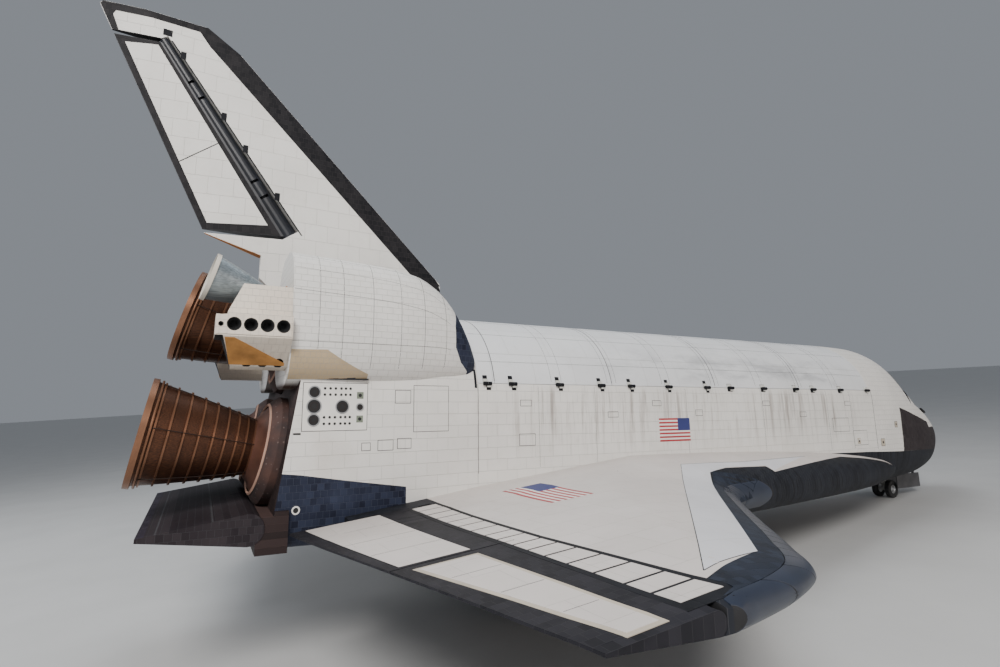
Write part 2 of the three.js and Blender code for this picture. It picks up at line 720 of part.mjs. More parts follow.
function buildFin() {
  const whole = loft([FIN_FOOT_Z + 2 * SEAT, 581, 700, 800, FIN_TIP_Z].map(finRing));
  const { matrix, length } = rudderFrame();
  const big = 400;
  // In the rudder's frame: local X runs up the hinge line and local Z runs forward
  const [rBottom, rTop] = RUDDER_Z.map((z) => finHalf(z) * SPINE_SHARE);
  const radiusAt = (x) => rBottom + (rTop - rBottom) * (x / length);
  const wedge = (x0, x1, reach) =>
    loft(
      [x0, x1].map((x) => {
        const r = radiusAt(x) + RUN;
        return [[x, -60, r], [x, 60, r], [x, 60, -reach], [x, -60, -reach]];
      }),
    );
  const pastPanel = 30;
  // The notch is clear round the spine, and behind it between the fin's foot and its tip
  const notch = join(
    placed(wedge(-RUN, length + RUN, rBottom + RUN), matrix),
    placed(wedge(-RUN, length + pastPanel, big), matrix).intersect(
      box([1400, 1800], [-60, 60], FIN_GAP_Z),
    ),
  );
  const behind = prismY(
    [
      [1492, 400], [1492, 499], [1527, 531.5], [1527, 557],
      [1587, 577.3], [1800, 577.3], [1800, 400],
    ],
    [-60, 60],
  );
  const corner = prismY([[1690, 830], [1720, 798], [1740, 830]], [-20, 20]);
  const crown = prismY([[1545, 830], [1545, 784], [1617, 830]], [-20, 20]);
  const bayEnd = box([1200, BAY_X[1] + 3], [-60, 60], [400, 560]);
  const fin = cut(whole, notch, behind, corner, crown, bayEnd, centreRoom);
  const panelZone = (side) => {
    const zone = loft(
      [RUN, length + pastPanel].map((x) => {
        const r = radiusAt(x);
        const inner = side * 0.1;
        const outer = side * 60;
        return [[x, inner, -0.72 * r], [x, outer, -0.72 * r], [x, outer, -big], [x, inner, -big]];
      }),
    );
    const clear = rod(length + 40, rBottom + RUN + 0.4, rTop + RUN, 20).translate([-20, 0, 0]);
    return placed(zone.subtract(clear), matrix);
  };
  // Each panel hangs on two lugs that reach the hinge line through slots in the spine
  const lugWidth = 3;
  const lugs = (side) =>
    [0.2, 0.7].map((share) => {
      const x = length * (share + (side > 0 ? 0 : 0.08));
      const r = radiusAt(x);
      const eye = rod(lugWidth, r * 0.45, r * 0.45, 12).translate([x, 0, 0]);
      const [near, far] = side > 0 ? [0.1, 2.2] : [-2.2, -0.1];
      const arm = box([x, x + lugWidth], [near, far], [-r - 4, 0]);
      const slot = box([x - SEAT, x + lugWidth + SEAT], [-20, 20], [-20, r * 0.5]);
      return { solid: join(eye, arm), slot };
    });
  const allLugs = [lugs(1), lugs(-1)];
  const spine = cut(
    rod(length - 2 * RUN, rBottom, rTop, 20).translate([RUN, 0, 0]),
    ...allLugs.flat().map(({ slot }) => slot),
  );
  const pinReach = RUN - SEAT;
  const pins = [[-pinReach, pinReach + 2], [length - RUN - 1, pinReach + 1 + SEAT]].map(
    ([x, reach]) => rod(reach, 2, 2, 12).translate([x, 0, 0]),
  );
  const limits = box([1400, 1800], [-60, 60], PANEL_Z);
  const panels = [1, -1].map((side, i) =>
    join(
      whole.intersect(panelZone(side)).intersect(limits),
      ...allLugs[i].map(({ solid }) => placed(solid, matrix)),
    ),
  );
  return { fin, spine: placed(join(spine, ...pins), matrix), panels };
}

// Wing sections: Y, leading X and Z, crest X and Z, keel Z, keel Z at the hinge,
// trailing X and Z
const wingSections = [
  [60, 440, 290, 1100, 332, 263.4, 265.5, 1514, 285],
  [105, 545, 290, 1100, 332, 263.4, 265.5, 1506.6, 286],
  [125, 648, 289, 1120, 331, 263.6, 266, 1503, 286.5],
  [150, 804, 288, 1145, 328, 264, 267.5, 1498.6, 287.3],
  [172, 938, 287, 1180, 325, 265, 269, 1494.7, 288.5],
  [184, 1001, 286, 1198, 322.5, 266, 270.3, 1492.6, 289],
  [196, 1028, 286, 1210, 321, 267, 271.5, 1490.5, 290],
  [215, 1051, 286.5, 1222, 320, 269, 273.5, 1487, 291],
  [260, 1096, 289, 1250, 318.5, 273.5, 278, 1479, 294],
  [312.5, 1148.5, 292.5, 1280, 318, 280, 284, 1469.8, 297.5],
  [400, 1236, 299.5, 1325, 317, 290.5, 293.5, 1454.3, 303],
  [436, 1275, 302.6, 1345, 316.4, 295.4, 297.6, 1447.9, 304.9],
  [452, 1312, 304.5, 1362, 315.7, 298, 299.7, 1445.1, 305.9],
  [462, 1350, 306, 1374, 314.8, 300.5, 301.3, 1443.3, 306.3],
  [WING_TIP_Y, 1374, 307, 1384, 313, 303, 303, 1442.2, 306.5],
];
const TRAILING_HALF = 0.7;

function wingRing([y, leX, leZ, crestX, crestZ, keelZ, hingeZ, teX, teZ]) {
  const curve = (endX, endZ, shares) =>
    shares.map((t) => {
      const x = leX + (endX - leX) * t;
      return [x, leZ + (endZ - leZ) * Math.sqrt(1 - (1 - t) ** 2)];
    });
  const keelX = Math.min(leX + (ELEVON_HINGE_X - leX) * 0.45, leX + 110);
  const upper = curve(crestX, crestZ, [0, 0.01, 0.04, 0.12, 0.3, 0.6, 1]);
  const lower = curve(keelX, keelZ, [1, 0.55, 0.22, 0.06]);
  return [
    ...upper,
    [teX, teZ + TRAILING_HALF],
    [teX, teZ - TRAILING_HALF],
    [ELEVON_HINGE_X, hingeZ],
    ...lower,
  ].map(([x, z]) => [x, y, z]);
}

const elevonPanels = [
  { name: "inboard", from: [ELEVON_ROOT_Y, 282.6, 15.6], to: [ELEVON_SPLIT_Y - 0.7, 295.2, 11.2] },
  { name: "outboard", from: [ELEVON_SPLIT_Y + 0.7, 295.3, 11.1], to: [WING_TIP_Y + 6, 308, 5] },
];

function elevonFrame({ from, to }) {
  const start = new THREE.Vector3(ELEVON_HINGE_X, from[0], from[1]);
  const along = new THREE.Vector3(ELEVON_HINGE_X, to[0], to[1]).sub(start);
  const length = along.length();
  along.normalize();
  const aft = new THREE.Vector3(1, 0, 0);
  const up = new THREE.Vector3().crossVectors(aft, along);
  return { matrix: new THREE.Matrix4().makeBasis(aft, along, up).setPosition(start), length };
}

// Everything in the local frame of one elevon: X aft of the hinge, Y along it
function elevonTools(panel) {
  const { matrix, length } = elevonFrame(panel);
  const [r0, r1] = [panel.from[2], panel.to[2]];
  const cone = (grow, y0, y1) =>
    loft(
      [[y0, r0 + grow], [y1, r1 + grow]].map(([y, r]) =>
        ring(28, (a) => [r * Math.cos(a), y, r * Math.sin(a)]),
      ),
    );
  const lipUp = Math.sin(rad(42));
  const lipDown = Math.sin(rad(28));
  const lips = (y0, y1) =>
    loft(
      [[y0, r0], [y1, r1]].map(([y, r]) => [
        [-r * lipDown - 0.4, y, -60], [150, y, -60], [150, y, 60],
        [-r * lipUp - 1.6, y, 60], [-r * lipUp - 1.6, y, 0], [-r * lipDown - 0.4, y, 0],
      ]),
    );
  const plates = [0.3, 0.75].map((share) => {
    const y = length * share;
    const r = r0 + (r1 - r0) * share;
    const round = [y - 1, y + 1].map((v) =>
      ring(16, (a) => [r * 0.6 * Math.cos(a), v, r * 0.6 * Math.sin(a)]),
    );
    return {
      solid: join(loft(round), box([-r - 6, 0], [y - 1, y + 1], [-r * 0.35, r * 0.35])),
      slot: box([-r - 8, r * 0.75], [y - 1 - SEAT, y + 1 + SEAT], [-r - 2, r + 2]),
    };
  });
  const moving = cut(
    join(cone(0, 0, length), box([0, 150], [0, length], [-60, 60])),
    ...plates.map(({ slot }) => slot),
  );
  const room = join(cone(RUN, -RUN, length + RUN), lips(-RUN, length + RUN));
  return {
    moving: placed(moving, matrix),
    room: placed(room, matrix),
    plates: plates.map(({ solid }) => placed(solid, matrix)),
  };
}

const mainWell = { x: [1046, 1196], y: [112, 166], top: 302 };
// The carbon edge: how deep it is, where it starts and how far aft it reaches
const carbonEdge = { depth: 24, from: 172, end: 1378 };

function buildWing(hull) {
  const whole = loft(wingSections.map(wingRing));
  const tools = elevonPanels.map(elevonTools);
  const elevons = tools.map(({ moving }) => whole.intersect(moving));
  const between = box([ELEVON_HINGE_X + 7, 1600], [309, 317], [200, 400]);
  const well = box(mainWell.x, mainWell.y, [200, mainWell.top]);
  const fixed = cut(whole, ...tools.map(({ room }) => room), between, hull, well);
  const plates = tools.flatMap((tool) => tool.plates.map((plate) => plate.intersect(whole)));
  const withPlates = join(fixed, ...plates);
  const { depth, from, end } = carbonEdge;
  const edgeLine = wingSections
    .filter(([y]) => y >= from)
    .map(([y, leX]) => [Math.min(leX + depth, end), y]);
  const front = (gap) => {
    const inner = edgeLine.map(([x, y]) => [x + gap, y]);
    const root = from - 1 - gap;
    const outline = [[700, root], [inner[0][0], root], ...inner, [1400, 480], [700, 480]];
    return loft([230, 360].map((z) => outline.map(([x, y]) => [x, y, z])));
  };
  return {
    wing: withPlates.subtract(front(SEAT)),
    edge: withPlates.intersect(front(0)),
    elevons,
  };
}

// Landing gear

const groundZ = (x) => MAIN_GROUND_Z + (MAIN_AXLE_X - x) * Math.tan(NOSE_DOWN);
// Offset is from the leg to each tyre, and half is half of the leg's width
const wheelSets = {
  main: {
    x: MAIN_AXLE_X, y: 137, radius: 22, width: 15, offset: 17, bore: 10.5, hub: 4, half: 7,
  },
  nose: {
    x: NOSE_AXLE_X, y: 0, radius: 15.8, width: 8.6, offset: 11, bore: 7.8, hub: 2.6, half: 5,
  },
};
const WHEEL_SIDES = 24;
const HUB_SIDES = 12;
// The flats of a wheel touch the ground, so its corners stand a little outside
const cornerRadius = (radius) => radius / Math.cos(Math.PI / WHEEL_SIDES);
const axleZ = ({ x, radius }) => groundZ(x) + radius / Math.cos(NOSE_DOWN);

// A profile of [along, radius] turned about an axle that runs to starboard
function wheelSolid(profile, sides = WHEEL_SIDES) {
  const solid = turned(profile, sides);
  const half = Math.PI / WHEEL_SIDES;
  const matrix = new THREE.Matrix4()
    .makeRotationZ(Math.PI / 2)
    .multiply(new THREE.Matrix4().makeRotationX(half - NOSE_DOWN));
  return placed(solid, matrix);
}

function buildTyre({ radius, width, bore }) {
  const out = cornerRadius(radius);
  const w = width / 2;
  return wheelSolid([
    [-w * 0.86, bore], [-w, out * 0.78], [-w * 0.62, out],
    [w * 0.62, out], [w, out * 0.78], [w * 0.86, bore],
  ]);
}

function buildHubs({ offset, width, bore, hub, half }) {
  const w = width / 2;
  const rim = bore - SEAT;
  const disc = (side) => {
    const [inner, back] = [side * (half + SEAT), side * (offset - w * 0.8)];
    const [face, lip] = [side * (offset + w * 0.3), side * (offset + w * 0.8)];
    return wheelSolid([
      [inner, 0], [inner, hub], [back, hub], [back, rim], [lip, rim],
      [face, rim - 2.4], [face, hub], [lip, hub * 0.7], [lip, 0],
    ], HUB_SIDES);
  };
  const axle = [[-offset, 0], [-offset, hub * 0.6], [offset, hub * 0.6], [offset, 0]];
  return join(disc(1), disc(-1), wheelSolid(axle, HUB_SIDES));
}

const AXLE_SIDES = 16;

// The hole through which an axle turns freely
function axleBore({ x, y, hub }, z) {
  const radius = hub * 0.6 + RUN + 0.1;
  return strut([x, y - 30, z], [x, y + 30, z], radius, radius, AXLE_SIDES);
}

function buildMainLeg() {
  const { x, y, half, hub } = wheelSets.main;
  const z = axleZ(wheelSets.main);
  const top = mainWell.top - 10;
  const bore = axleBore(wheelSets.main, z);
  const axleBlock = strut([x, y - half, z], [x, y + half, z], hub + 2, hub + 2, AXLE_SIDES);
  return cut(
    join(
      axleBlock,
      strut([x, y, z], [x, y, z + 30], 4.2),
      strut([x, y, z + 26], [x, y, top], 6.5),
      strut([x, mainWell.y[0] + SEAT, top], [x, mainWell.y[1] - SEAT, top], 5),
      strut([x - 4, y, z + 34], [x - 78, y, top + 2], 3),
      strut([x - 78, mainWell.y[0] + SEAT, top + 2], [x - 78, mainWell.y[1] - SEAT, top + 2], 4),
      strut([x + 5, y, z + 8], [x + 10, y, z + 20], 1.6),
      strut([x + 10, y, z + 20], [x + 5, y, z + 32], 1.6),
    ),
    bore,
  );
}

function buildNoseLeg() {
  const { x } = wheelSets.nose;
  const z = axleZ(wheelSets.nose);
  const roof = cabin.floor[0] - SEAT;
  return join(
    strut([x, 0, z + 24], [x, 0, roof], 5, 6.5),
    strut([x - 2, 0, z + 40], [x - 58, 0, roof - 4], 2.6),
    box([x - 64, x - 52], [-8, 8], [roof - 8, roof]),
    strut([x - 3, -10, z + 44], [x - 3, 10, z + 44], 3),
  );
}

function buildNoseFork() {
  const { x, half, hub } = wheelSets.nose;
  const z = axleZ(wheelSets.nose);
  const bore = axleBore(wheelSets.nose, z);
  return cut(
    join(
      strut([x, -half, z], [x, half, z], hub + 1.6, hub + 1.6, AXLE_SIDES),
      strut([x, 0, z], [x, 0, z + 24 - SEAT], 3.4),
      strut([x + 3, 0, z + 6], [x + 8, 0, z + 13], 1.3),
      strut([x + 8, 0, z + 13], [x + 3, 0, z + 20], 1.3),
    ),
    bore,
  );
}

// Doors of the wheel wells, fixed open: hinge edge on the outboard side
function buildNoseDoor() {
  const y = noseWell.half;
  const [x0, x1] = [noseWell.x[0] + 2, noseWell.x[1] - 26];
  return join(
    box([x0, x1], [y + 0.4, y + 1.8], [236, 262]),
    ...[x0 + 12, x1 - 14].flatMap((x) => [
      box([x, x + 4], [y - 3, y + 1.8], [258, 261.5]),
      box([x, x + 4], [y - 3, y - SEAT], [258, 278]),
    ]),
  );
}

function buildMainDoor() {
  const [x0, x1] = mainWell.x;
  const y = mainWell.y[1];
  const outline = [
    [x0 + 3, 261], [x0 + 10, 220], [x0 + 26, 208],
    [x1 - 22, 208], [x1 - 3, 222], [x1 - 3, 261],
  ];
  return join(
    prismY(outline, [y + 1, y + 3.2]),
    ...[x0 + 20, x1 - 30].flatMap((x) => [
      box([x, x + 5], [y - 3, y + 2.4], [256, 260.5]),
      box([x, x + 5], [y - 3, y - SEAT], [256, 274]),
    ]),
  );
}

// Assembly

const airframe = new THREE.Group();
const add = (name, solid, look, parent = airframe) => {
  const mesh = new THREE.Mesh(geometryOf(solid), look);
  mesh.name = name;
  parent.add(mesh);
  return mesh;
};
const SIDES = [
  { name: "starboard", sign: 1, turn: (solid) => solid },
  { name: "port", sign: -1, turn: mirrored },
];

const nose = buildNose();
const forward = buildForwardBody(nose);
add("nose_cap", nose.cap, finish.carbon);
add("forward_thruster_module", nose.thrusters, finish.blanket);
add("forward_fuselage", forward.shell, finish.blanket);
add("windshield", forward.glazing, finish.glass);
add("side_hatch", forward.door, finish.blanket);
add("crew_module", buildCrewModule(), finish.interior);
add("mid_fuselage", buildMidBody(), finish.blanket);

const wholeHull = join(
  body(-SEAT, 300, 1306),
  body(-SEAT, 1306, HULL_END_X).subtract(behindBase([250, 530], SEAT)),
  box([1499.5, 1531.5], [-flap.half - 0.5, flap.half + 0.5], [262, 304.5]),
  bossBox(bosses.aft, SEAT),
);
add("aft_fuselage", buildAftBody(), finish.blanket);
add("thrust_structure", buildThrustStructure(), finish.metal);
for (const engine of engines) {
  const frame = new THREE.Group();
  engineMatrix(engine).decompose(frame.position, frame.quaternion, frame.scale);
  airframe.add(frame);
  add(`${engine.name}_engine_dome`, buildDome(engine.foot), finish.shield, frame);
  add(`${engine.name}_main_engine`, buildEngine(), finish.nozzle, frame);
}
add("body_flap", buildFlap(), finish.tile);

const tail = buildFin();
add("vertical_fin", tail.fin, finish.blanket);
add("rudder_spine", tail.spine, finish.tile);
add("starboard_rudder_panel", tail.panels[0], finish.blanket);
add("port_rudder_panel", tail.panels[1], finish.blanket);

const door = buildDoor();
const radiator = buildRadiator();
const pod = buildPod(wholeHull);
const omsBell = buildOmsBell();
const wing = buildWing(wholeHull);
for (const { name, sign, turn } of SIDES) {
  add(`${name}_bay_door`, turn(door), finish.blanket);
  add(`${name}_radiator`, turn(radiator), finish.radiator);
  add(`${name}_orbital_pod`, turn(pod), finish.blanket);
  add(`${name}_thruster_housing`, turn(buildHousing()), finish.blanket);
  add(`${name}_orbital_engine`, turn(placed(omsBell, omsPlace)), finish.thruster);
  add(`${name}_wing`, turn(wing.wing), finish.blanket);
  add(`${name}_leading_edge`, turn(wing.edge), finish.carbon);
  wing.elevons.forEach((elevon, i) => {
    add(`${name}_${elevonPanels[i].name}_elevon`, turn(elevon), finish.blanket);
  });
  add(`${name}_main_gear_leg`, turn(buildMainLeg()), finish.metal);
  add(`${name}_main_gear_door`, turn(buildMainDoor()), finish.tile);
  add(`${name}_nose_gear_door`, turn(buildNoseDoor()), finish.tile);

  const { x, y, offset } = wheelSets.main;
  const axle = new THREE.Group();
  axle.position.set(x, sign * y, axleZ(wheelSets.main));
  airframe.add(axle);
  add(`${name}_main_hubs`, buildHubs(wheelSets.main), finish.metal, axle);
  for (const [place, shift] of [["outer", sign * offset], ["inner", -sign * offset]]) {
    const tyre = add(`${name}_main_${place}_tyre`, buildTyre(wheelSets.main), finish.rubber, axle);
    tyre.position.y = shift;
  }
}

add("nose_gear_leg", buildNoseLeg(), finish.metal);
add("nose_gear_fork", buildNoseFork(), finish.metal);
const noseAxle = new THREE.Group();
noseAxle.position.set(wheelSets.nose.x, 0, axleZ(wheelSets.nose));
airframe.add(noseAxle);
add("nose_hubs", buildHubs(wheelSets.nose), finish.metal, noseAxle);
for (const { name, sign } of SIDES) {
  const tyre = add(`${name}_nose_tyre`, buildTyre(wheelSets.nose), finish.rubber, noseAxle);
  tyre.position.y = sign * wheelSets.nose.offset;
}

// Turn the stations into millimetres, stand the craft on its wheels, and put
// the middle of its footprint at the origin.
airframe.rotation.z = Math.PI;
airframe.scale.setScalar(MM_PER_INCH);
const standing = new THREE.Group();
standing.add(airframe);
standing.rotation.y = NOSE_DOWN;
const spacePlane = new THREE.Group();
spacePlane.add(standing);
spacePlane.updateMatrixWorld(true);
const bounds = new THREE.Box3().setFromObject(spacePlane, true);
standing.position.set(-(bounds.min.x + bounds.max.x) / 2, 0, -bounds.min.z);

export default spacePlane;
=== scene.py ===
"""Looks for a space plane that stands on its landing gear.

Shapes are drawn in the craft's own stations, in inches, as its drawings are: X runs
aft from ahead of the nose, Y to starboard and Z up. to_row carries them into the
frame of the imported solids, in metres.
"""
import json
import math

import bmesh
import bpy
from mathutils import Matrix, Vector


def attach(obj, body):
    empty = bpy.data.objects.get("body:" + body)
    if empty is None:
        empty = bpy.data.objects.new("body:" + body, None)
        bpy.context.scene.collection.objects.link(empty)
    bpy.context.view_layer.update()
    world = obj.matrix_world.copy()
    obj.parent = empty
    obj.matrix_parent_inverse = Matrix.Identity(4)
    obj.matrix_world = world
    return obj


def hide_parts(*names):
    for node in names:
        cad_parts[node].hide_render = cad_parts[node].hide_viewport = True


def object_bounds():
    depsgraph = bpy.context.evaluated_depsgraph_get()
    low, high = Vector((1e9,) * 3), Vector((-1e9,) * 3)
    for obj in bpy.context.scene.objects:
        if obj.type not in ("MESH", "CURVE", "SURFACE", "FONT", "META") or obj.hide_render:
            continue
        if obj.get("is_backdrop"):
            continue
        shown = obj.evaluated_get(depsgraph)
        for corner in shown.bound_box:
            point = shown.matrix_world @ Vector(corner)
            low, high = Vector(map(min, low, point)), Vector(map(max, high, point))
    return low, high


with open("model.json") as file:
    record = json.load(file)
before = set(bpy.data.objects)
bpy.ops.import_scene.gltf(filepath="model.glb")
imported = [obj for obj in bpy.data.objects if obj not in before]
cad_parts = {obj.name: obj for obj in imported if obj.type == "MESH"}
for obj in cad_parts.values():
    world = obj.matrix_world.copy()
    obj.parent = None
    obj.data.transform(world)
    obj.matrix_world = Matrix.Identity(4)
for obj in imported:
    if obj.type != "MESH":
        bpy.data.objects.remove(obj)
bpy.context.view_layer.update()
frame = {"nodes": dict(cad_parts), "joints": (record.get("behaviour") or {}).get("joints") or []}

# Frame of the craft
INCH = 0.0254
NOSE_DOWN = math.radians(3.51)
MAIN_AXLE = (1172.0, 137.0)
MAIN_GROUND_Z = 170.3
TYRE_RADIUS = 22.0
SIDES = (("starboard", 1), ("port", -1))

turn_to_row = Matrix.Rotation(NOSE_DOWN, 4, "Y")
station_scale = Matrix.Diagonal((-INCH, -INCH, INCH, 1))
axle_pos = next(j["pos_m"] for j in frame["joints"] if j["name"] == "starboard_wheel_axle")
axle_z = MAIN_GROUND_Z + TYRE_RADIUS / math.cos(NOSE_DOWN)
ORIGIN = Vector(axle_pos) - turn_to_row @ station_scale @ Vector((*MAIN_AXLE, axle_z))
to_row = Matrix.Translation(ORIGIN) @ turn_to_row @ station_scale

# The camera, solved from body stations that the photograph shows
CAMERA_STATION = (1574.8, 633.1, 391.6)
CAMERA_YAW = math.radians(25.92)
CAMERA_PITCH = math.radians(10.13)
CAMERA_ROLL = math.radians(-0.12)
FOCAL_PX = 544.2
CENTRE_SHIFT_PX = (-30.91, -24.46)
PHOTO_WIDTH_PX = 1000.0
SENSOR_MM = 36.0


def make_camera():
    data = bpy.data.cameras.new("photo_camera")
    data.sensor_width = SENSOR_MM
    data.lens = FOCAL_PX / PHOTO_WIDTH_PX * SENSOR_MM
    data.shift_x = -CENTRE_SHIFT_PX[0] / PHOTO_WIDTH_PX
    data.shift_y = CENTRE_SHIFT_PX[1] / PHOTO_WIDTH_PX
    data.clip_end = 3000
    camera = bpy.data.objects.new("photo_camera", data)
    bpy.context.scene.collection.objects.link(camera)
    ahead = Vector((
        math.cos(CAMERA_PITCH) * math.sin(CAMERA_YAW),
        math.cos(CAMERA_PITCH) * math.cos(CAMERA_YAW),
        math.sin(CAMERA_PITCH),
    ))
    level = ahead.cross(Vector((0, 0, 1))).normalized()
    upright = level.cross(ahead)
    right = math.cos(CAMERA_ROLL) * level + math.sin(CAMERA_ROLL) * upright
    up = math.cos(CAMERA_ROLL) * upright - math.sin(CAMERA_ROLL) * level
    turn = Matrix((right, up, -ahead)).transposed().to_4x4()
    place = Matrix.Translation(to_row @ Vector(CAMERA_STATION))
    camera.matrix_world = place @ turn_to_row @ turn
    bpy.context.scene.camera = camera


# Node materials


class Shader:
    """A material under construction, with small helpers for its node tree."""

    def __init__(self, name):
        self.material = bpy.data.materials.new(name)
        self.material.use_nodes = True
        self.tree = self.material.node_tree
        self.bsdf = self.tree.nodes["Principled BSDF"]
        coords = self.node("TexCoord").outputs["Object"]
        mapping = self.node("Mapping", Vector=coords, Location=ORIGIN, Rotation=(0, NOSE_DOWN, 0),
                            Scale=(-INCH, -INCH, INCH))
        mapping.vector_type = "TEXTURE"
        self.station = mapping.outputs["Vector"]
        self.x, self.y, self.z = self.node("SeparateXYZ", Vector=self.station).outputs

    def node(self, kind, **inputs):
        made = self.tree.nodes.new("ShaderNode" + kind)
        for key, value in inputs.items():
            self.feed(made.inputs[key.replace("_", " ")], value)
        return made

    def feed(self, socket, value):
        if isinstance(value, bpy.types.NodeSocket):
            self.tree.links.new(value, socket)
        else:
            socket.default_value = value

    def math(self, operation, *values):
        made = self.node("Math")
        made.operation = operation
        for socket, value in zip(made.inputs, values):
            self.feed(socket, value)
        return made.outputs[0]

    def step(self, value, low, high):
        """0 below low, 1 above high, and a ramp between; low may be above high."""
        return self.node("MapRange", Value=value, From_Min=low, From_Max=high).outputs["Result"]

    def both(self, *masks):
        """The product of masks and plain numbers."""
        total = masks[0]
        for mask in masks[1:]:
            total = self.math("MULTIPLY", total, mask)
        return total

    def mix(self, share, first, second):
        made = self.node("Mix")
        made.data_type = "RGBA"
        self.feed(made.inputs["Factor"], share)
        for socket, value in ((made.inputs[6], first), (made.inputs[7], second)):
            self.feed(socket, (*value, 1) if isinstance(value, tuple) else value)
        return made.outputs[2]

    def scaled(self, factors):
        made = self.node("VectorMath")
        made.operation = "MULTIPLY"
        self.feed(made.inputs[0], self.station)
        self.feed(made.inputs[1], factors)
        return made.outputs[0]

    def noise(self, factors, detail=3.0, roughness=0.55):
        """Cloudy noise; one factor serves for X, Y and Z alike."""
        if not isinstance(factors, tuple):
            factors = (factors,) * 3
        made = self.node("TexNoise", Vector=self.scaled(factors), Scale=1, Detail=detail,
                         Roughness=roughness)
        return made.outputs["Fac"]

    def bricks(self, vector, width, height, joint):
        """Cells in the vector's X and Y: (share of joint, random grey of each cell)."""
        made = self.node("TexBrick", Vector=vector, Color1=(0, 0, 0, 1), Color2=(1, 1, 1, 1),
                         Mortar=(0.5, 0.5, 0.5, 1), Scale=1, Mortar_Size=joint, Mortar_Smooth=0.1, Bias=0,
                         Brick_Width=width, Row_Height=height)
        return made.outputs["Fac"], made.outputs["Color"]

    def finish(self, color, roughness=0.7, metallic=0.0, height=None, depth=0.002, coat=0.0, sheen=0.5):
        values = {"Base Color": (*color, 1) if isinstance(color, tuple) else color, "Roughness": roughness,
                  "Metallic": metallic, "Specular IOR Level": sheen, "Coat Weight": coat}
        for key, value in values.items():
            self.feed(self.bsdf.inputs[key], value)
        if height is not None:
            bump = self.node("Bump", Height=height, Distance=depth, Strength=1.0)
            self.feed(self.bsdf.inputs["Normal"], bump.outputs["Normal"])
        return self.material



def white_skin(name, panel, joint=0.16, tint=(0.76, 0.745, 0.71), streaks=False, over_top=False, soot=0.0,
               scorched=False):
    """White blankets and tiles with faint joints, mottled, and stained where the craft is."""
    s = Shader(name)
    cells = s.node("CombineXYZ", X=s.x, Y=s.y if over_top else s.z).outputs[0]
    line, random_grey = s.bricks(cells, *panel, joint)
    mottle = s.noise(0.012, detail=5)
    fine = s.noise(0.09, detail=4)
    dark = tuple(c * f for c, f in zip(tint, (0.80, 0.78, 0.75)))
    color = s.mix(s.step(mottle, 0.42, 0.72), tint, tuple(c * 0.90 for c in tint))
    color = s.mix(s.both(random_grey, 0.16), color, dark)
    color = s.mix(s.both(s.step(fine, 0.55, 0.8), 0.35), color, dark)
    if streaks:
        drips = s.step(s.noise((0.11, 0.02, 0.006), detail=6, roughness=0.7), 0.50, 0.68)
        zone = (s.step(s.z, 330, 372), s.step(s.z, 417, 405), s.step(s.x, 590, 680), s.step(s.x, 1300, 1240))
        color = s.mix(s.both(drips, *zone, 0.75), color, (0.27, 0.23, 0.20))
        rusty = s.both(s.step(mottle, 0.38, 0.7), s.step(s.x, 1415, 1470), 0.45)
        color = s.mix(rusty, color, (0.44, 0.33, 0.25))
    if soot:
        patches = s.step(s.noise((0.012, 0.05, 0.035), detail=6, roughness=0.65), 0.46, 0.66)
        zone = (s.step(s.z, 418, 432), s.step(s.z, 478, 448), s.step(s.x, 600, 680), s.step(s.x, 1160, 1040))
        color = s.mix(s.both(patches, *zone, soot), color, (0.26, 0.27, 0.29))
    if scorched:
        color = s.mix(s.both(s.step(s.z, 414, 410), s.step(s.x, 1440, 1500)), color, (0.06, 0.035, 0.025))
    color = s.mix(s.both(line, 0.55), color, (0.36, 0.35, 0.33))
    height = s.math("SUBTRACT", s.both(fine, 0.25), line)
    return s.finish(color, roughness=0.62, height=height, depth=0.004)


TILE_SIZE = 6.0


def black_tiles(name, plane="xy", base=(0.010, 0.011, 0.014), pale=(0.036, 0.040, 0.050),
                joint_color=(0.065, 0.065, 0.07), spin=0.0):
    """Square black tiles, each a little different, with paler worn joints."""
    s = Shader(name)
    u, v = (getattr(s, axis) for axis in plane)
    cells = s.node("CombineXYZ", X=u, Y=v).outputs[0]
    if spin:
        turned = s.node("VectorRotate", Vector=cells, Angle=math.radians(spin))
        turned.rotation_type = "Z_AXIS"
        cells = turned.outputs[0]
    line, random_grey = s.bricks(cells, TILE_SIZE, TILE_SIZE, 0.10)
    mottle = s.noise(0.03, detail=5)
    color = s.mix(s.both(random_grey, 0.55), base, pale)
    color = s.mix(s.both(s.step(mottle, 0.5, 0.75), 0.5), color, pale)
    color = s.mix(s.both(line, 0.8), color, joint_color)
    height = s.math("SUBTRACT", s.both(mottle, 0.2), line)
    return s.finish(color, roughness=0.62, height=height, depth=0.004, sheen=0.18)


def plain(name, color, roughness=0.6, metallic=0.0, vary=0.25, depth=0.0008, sheen=0.5):
    """One colour with soft variation and a fine grain."""
    s = Shader(name)
    dark = tuple(c * (1 - vary) for c in color)
    mixed = s.mix(s.step(s.noise(0.05, detail=5), 0.35, 0.68), color, dark)
    return s.finish(mixed, roughness, metallic, height=s.noise(1.0), depth=depth, sheen=sheen)


def nozzle_metal(name, color, dark, roughness=0.42, around=2.2):
    """Heat-stained bell metal, streaked along the bell."""
    s = Shader(name)
    streak = s.noise((0.012, around, around), detail=4)
    bands = s.step(s.noise((0.07, 0.01, 0.01)), 0.45, 0.7)
    mixed = s.mix(s.step(streak, 0.3, 0.72), dark, color)
    mixed = s.mix(s.both(bands, 0.5), mixed, dark)
    return s.finish(mixed, roughness, metallic=0.65, height=streak, depth=0.003)


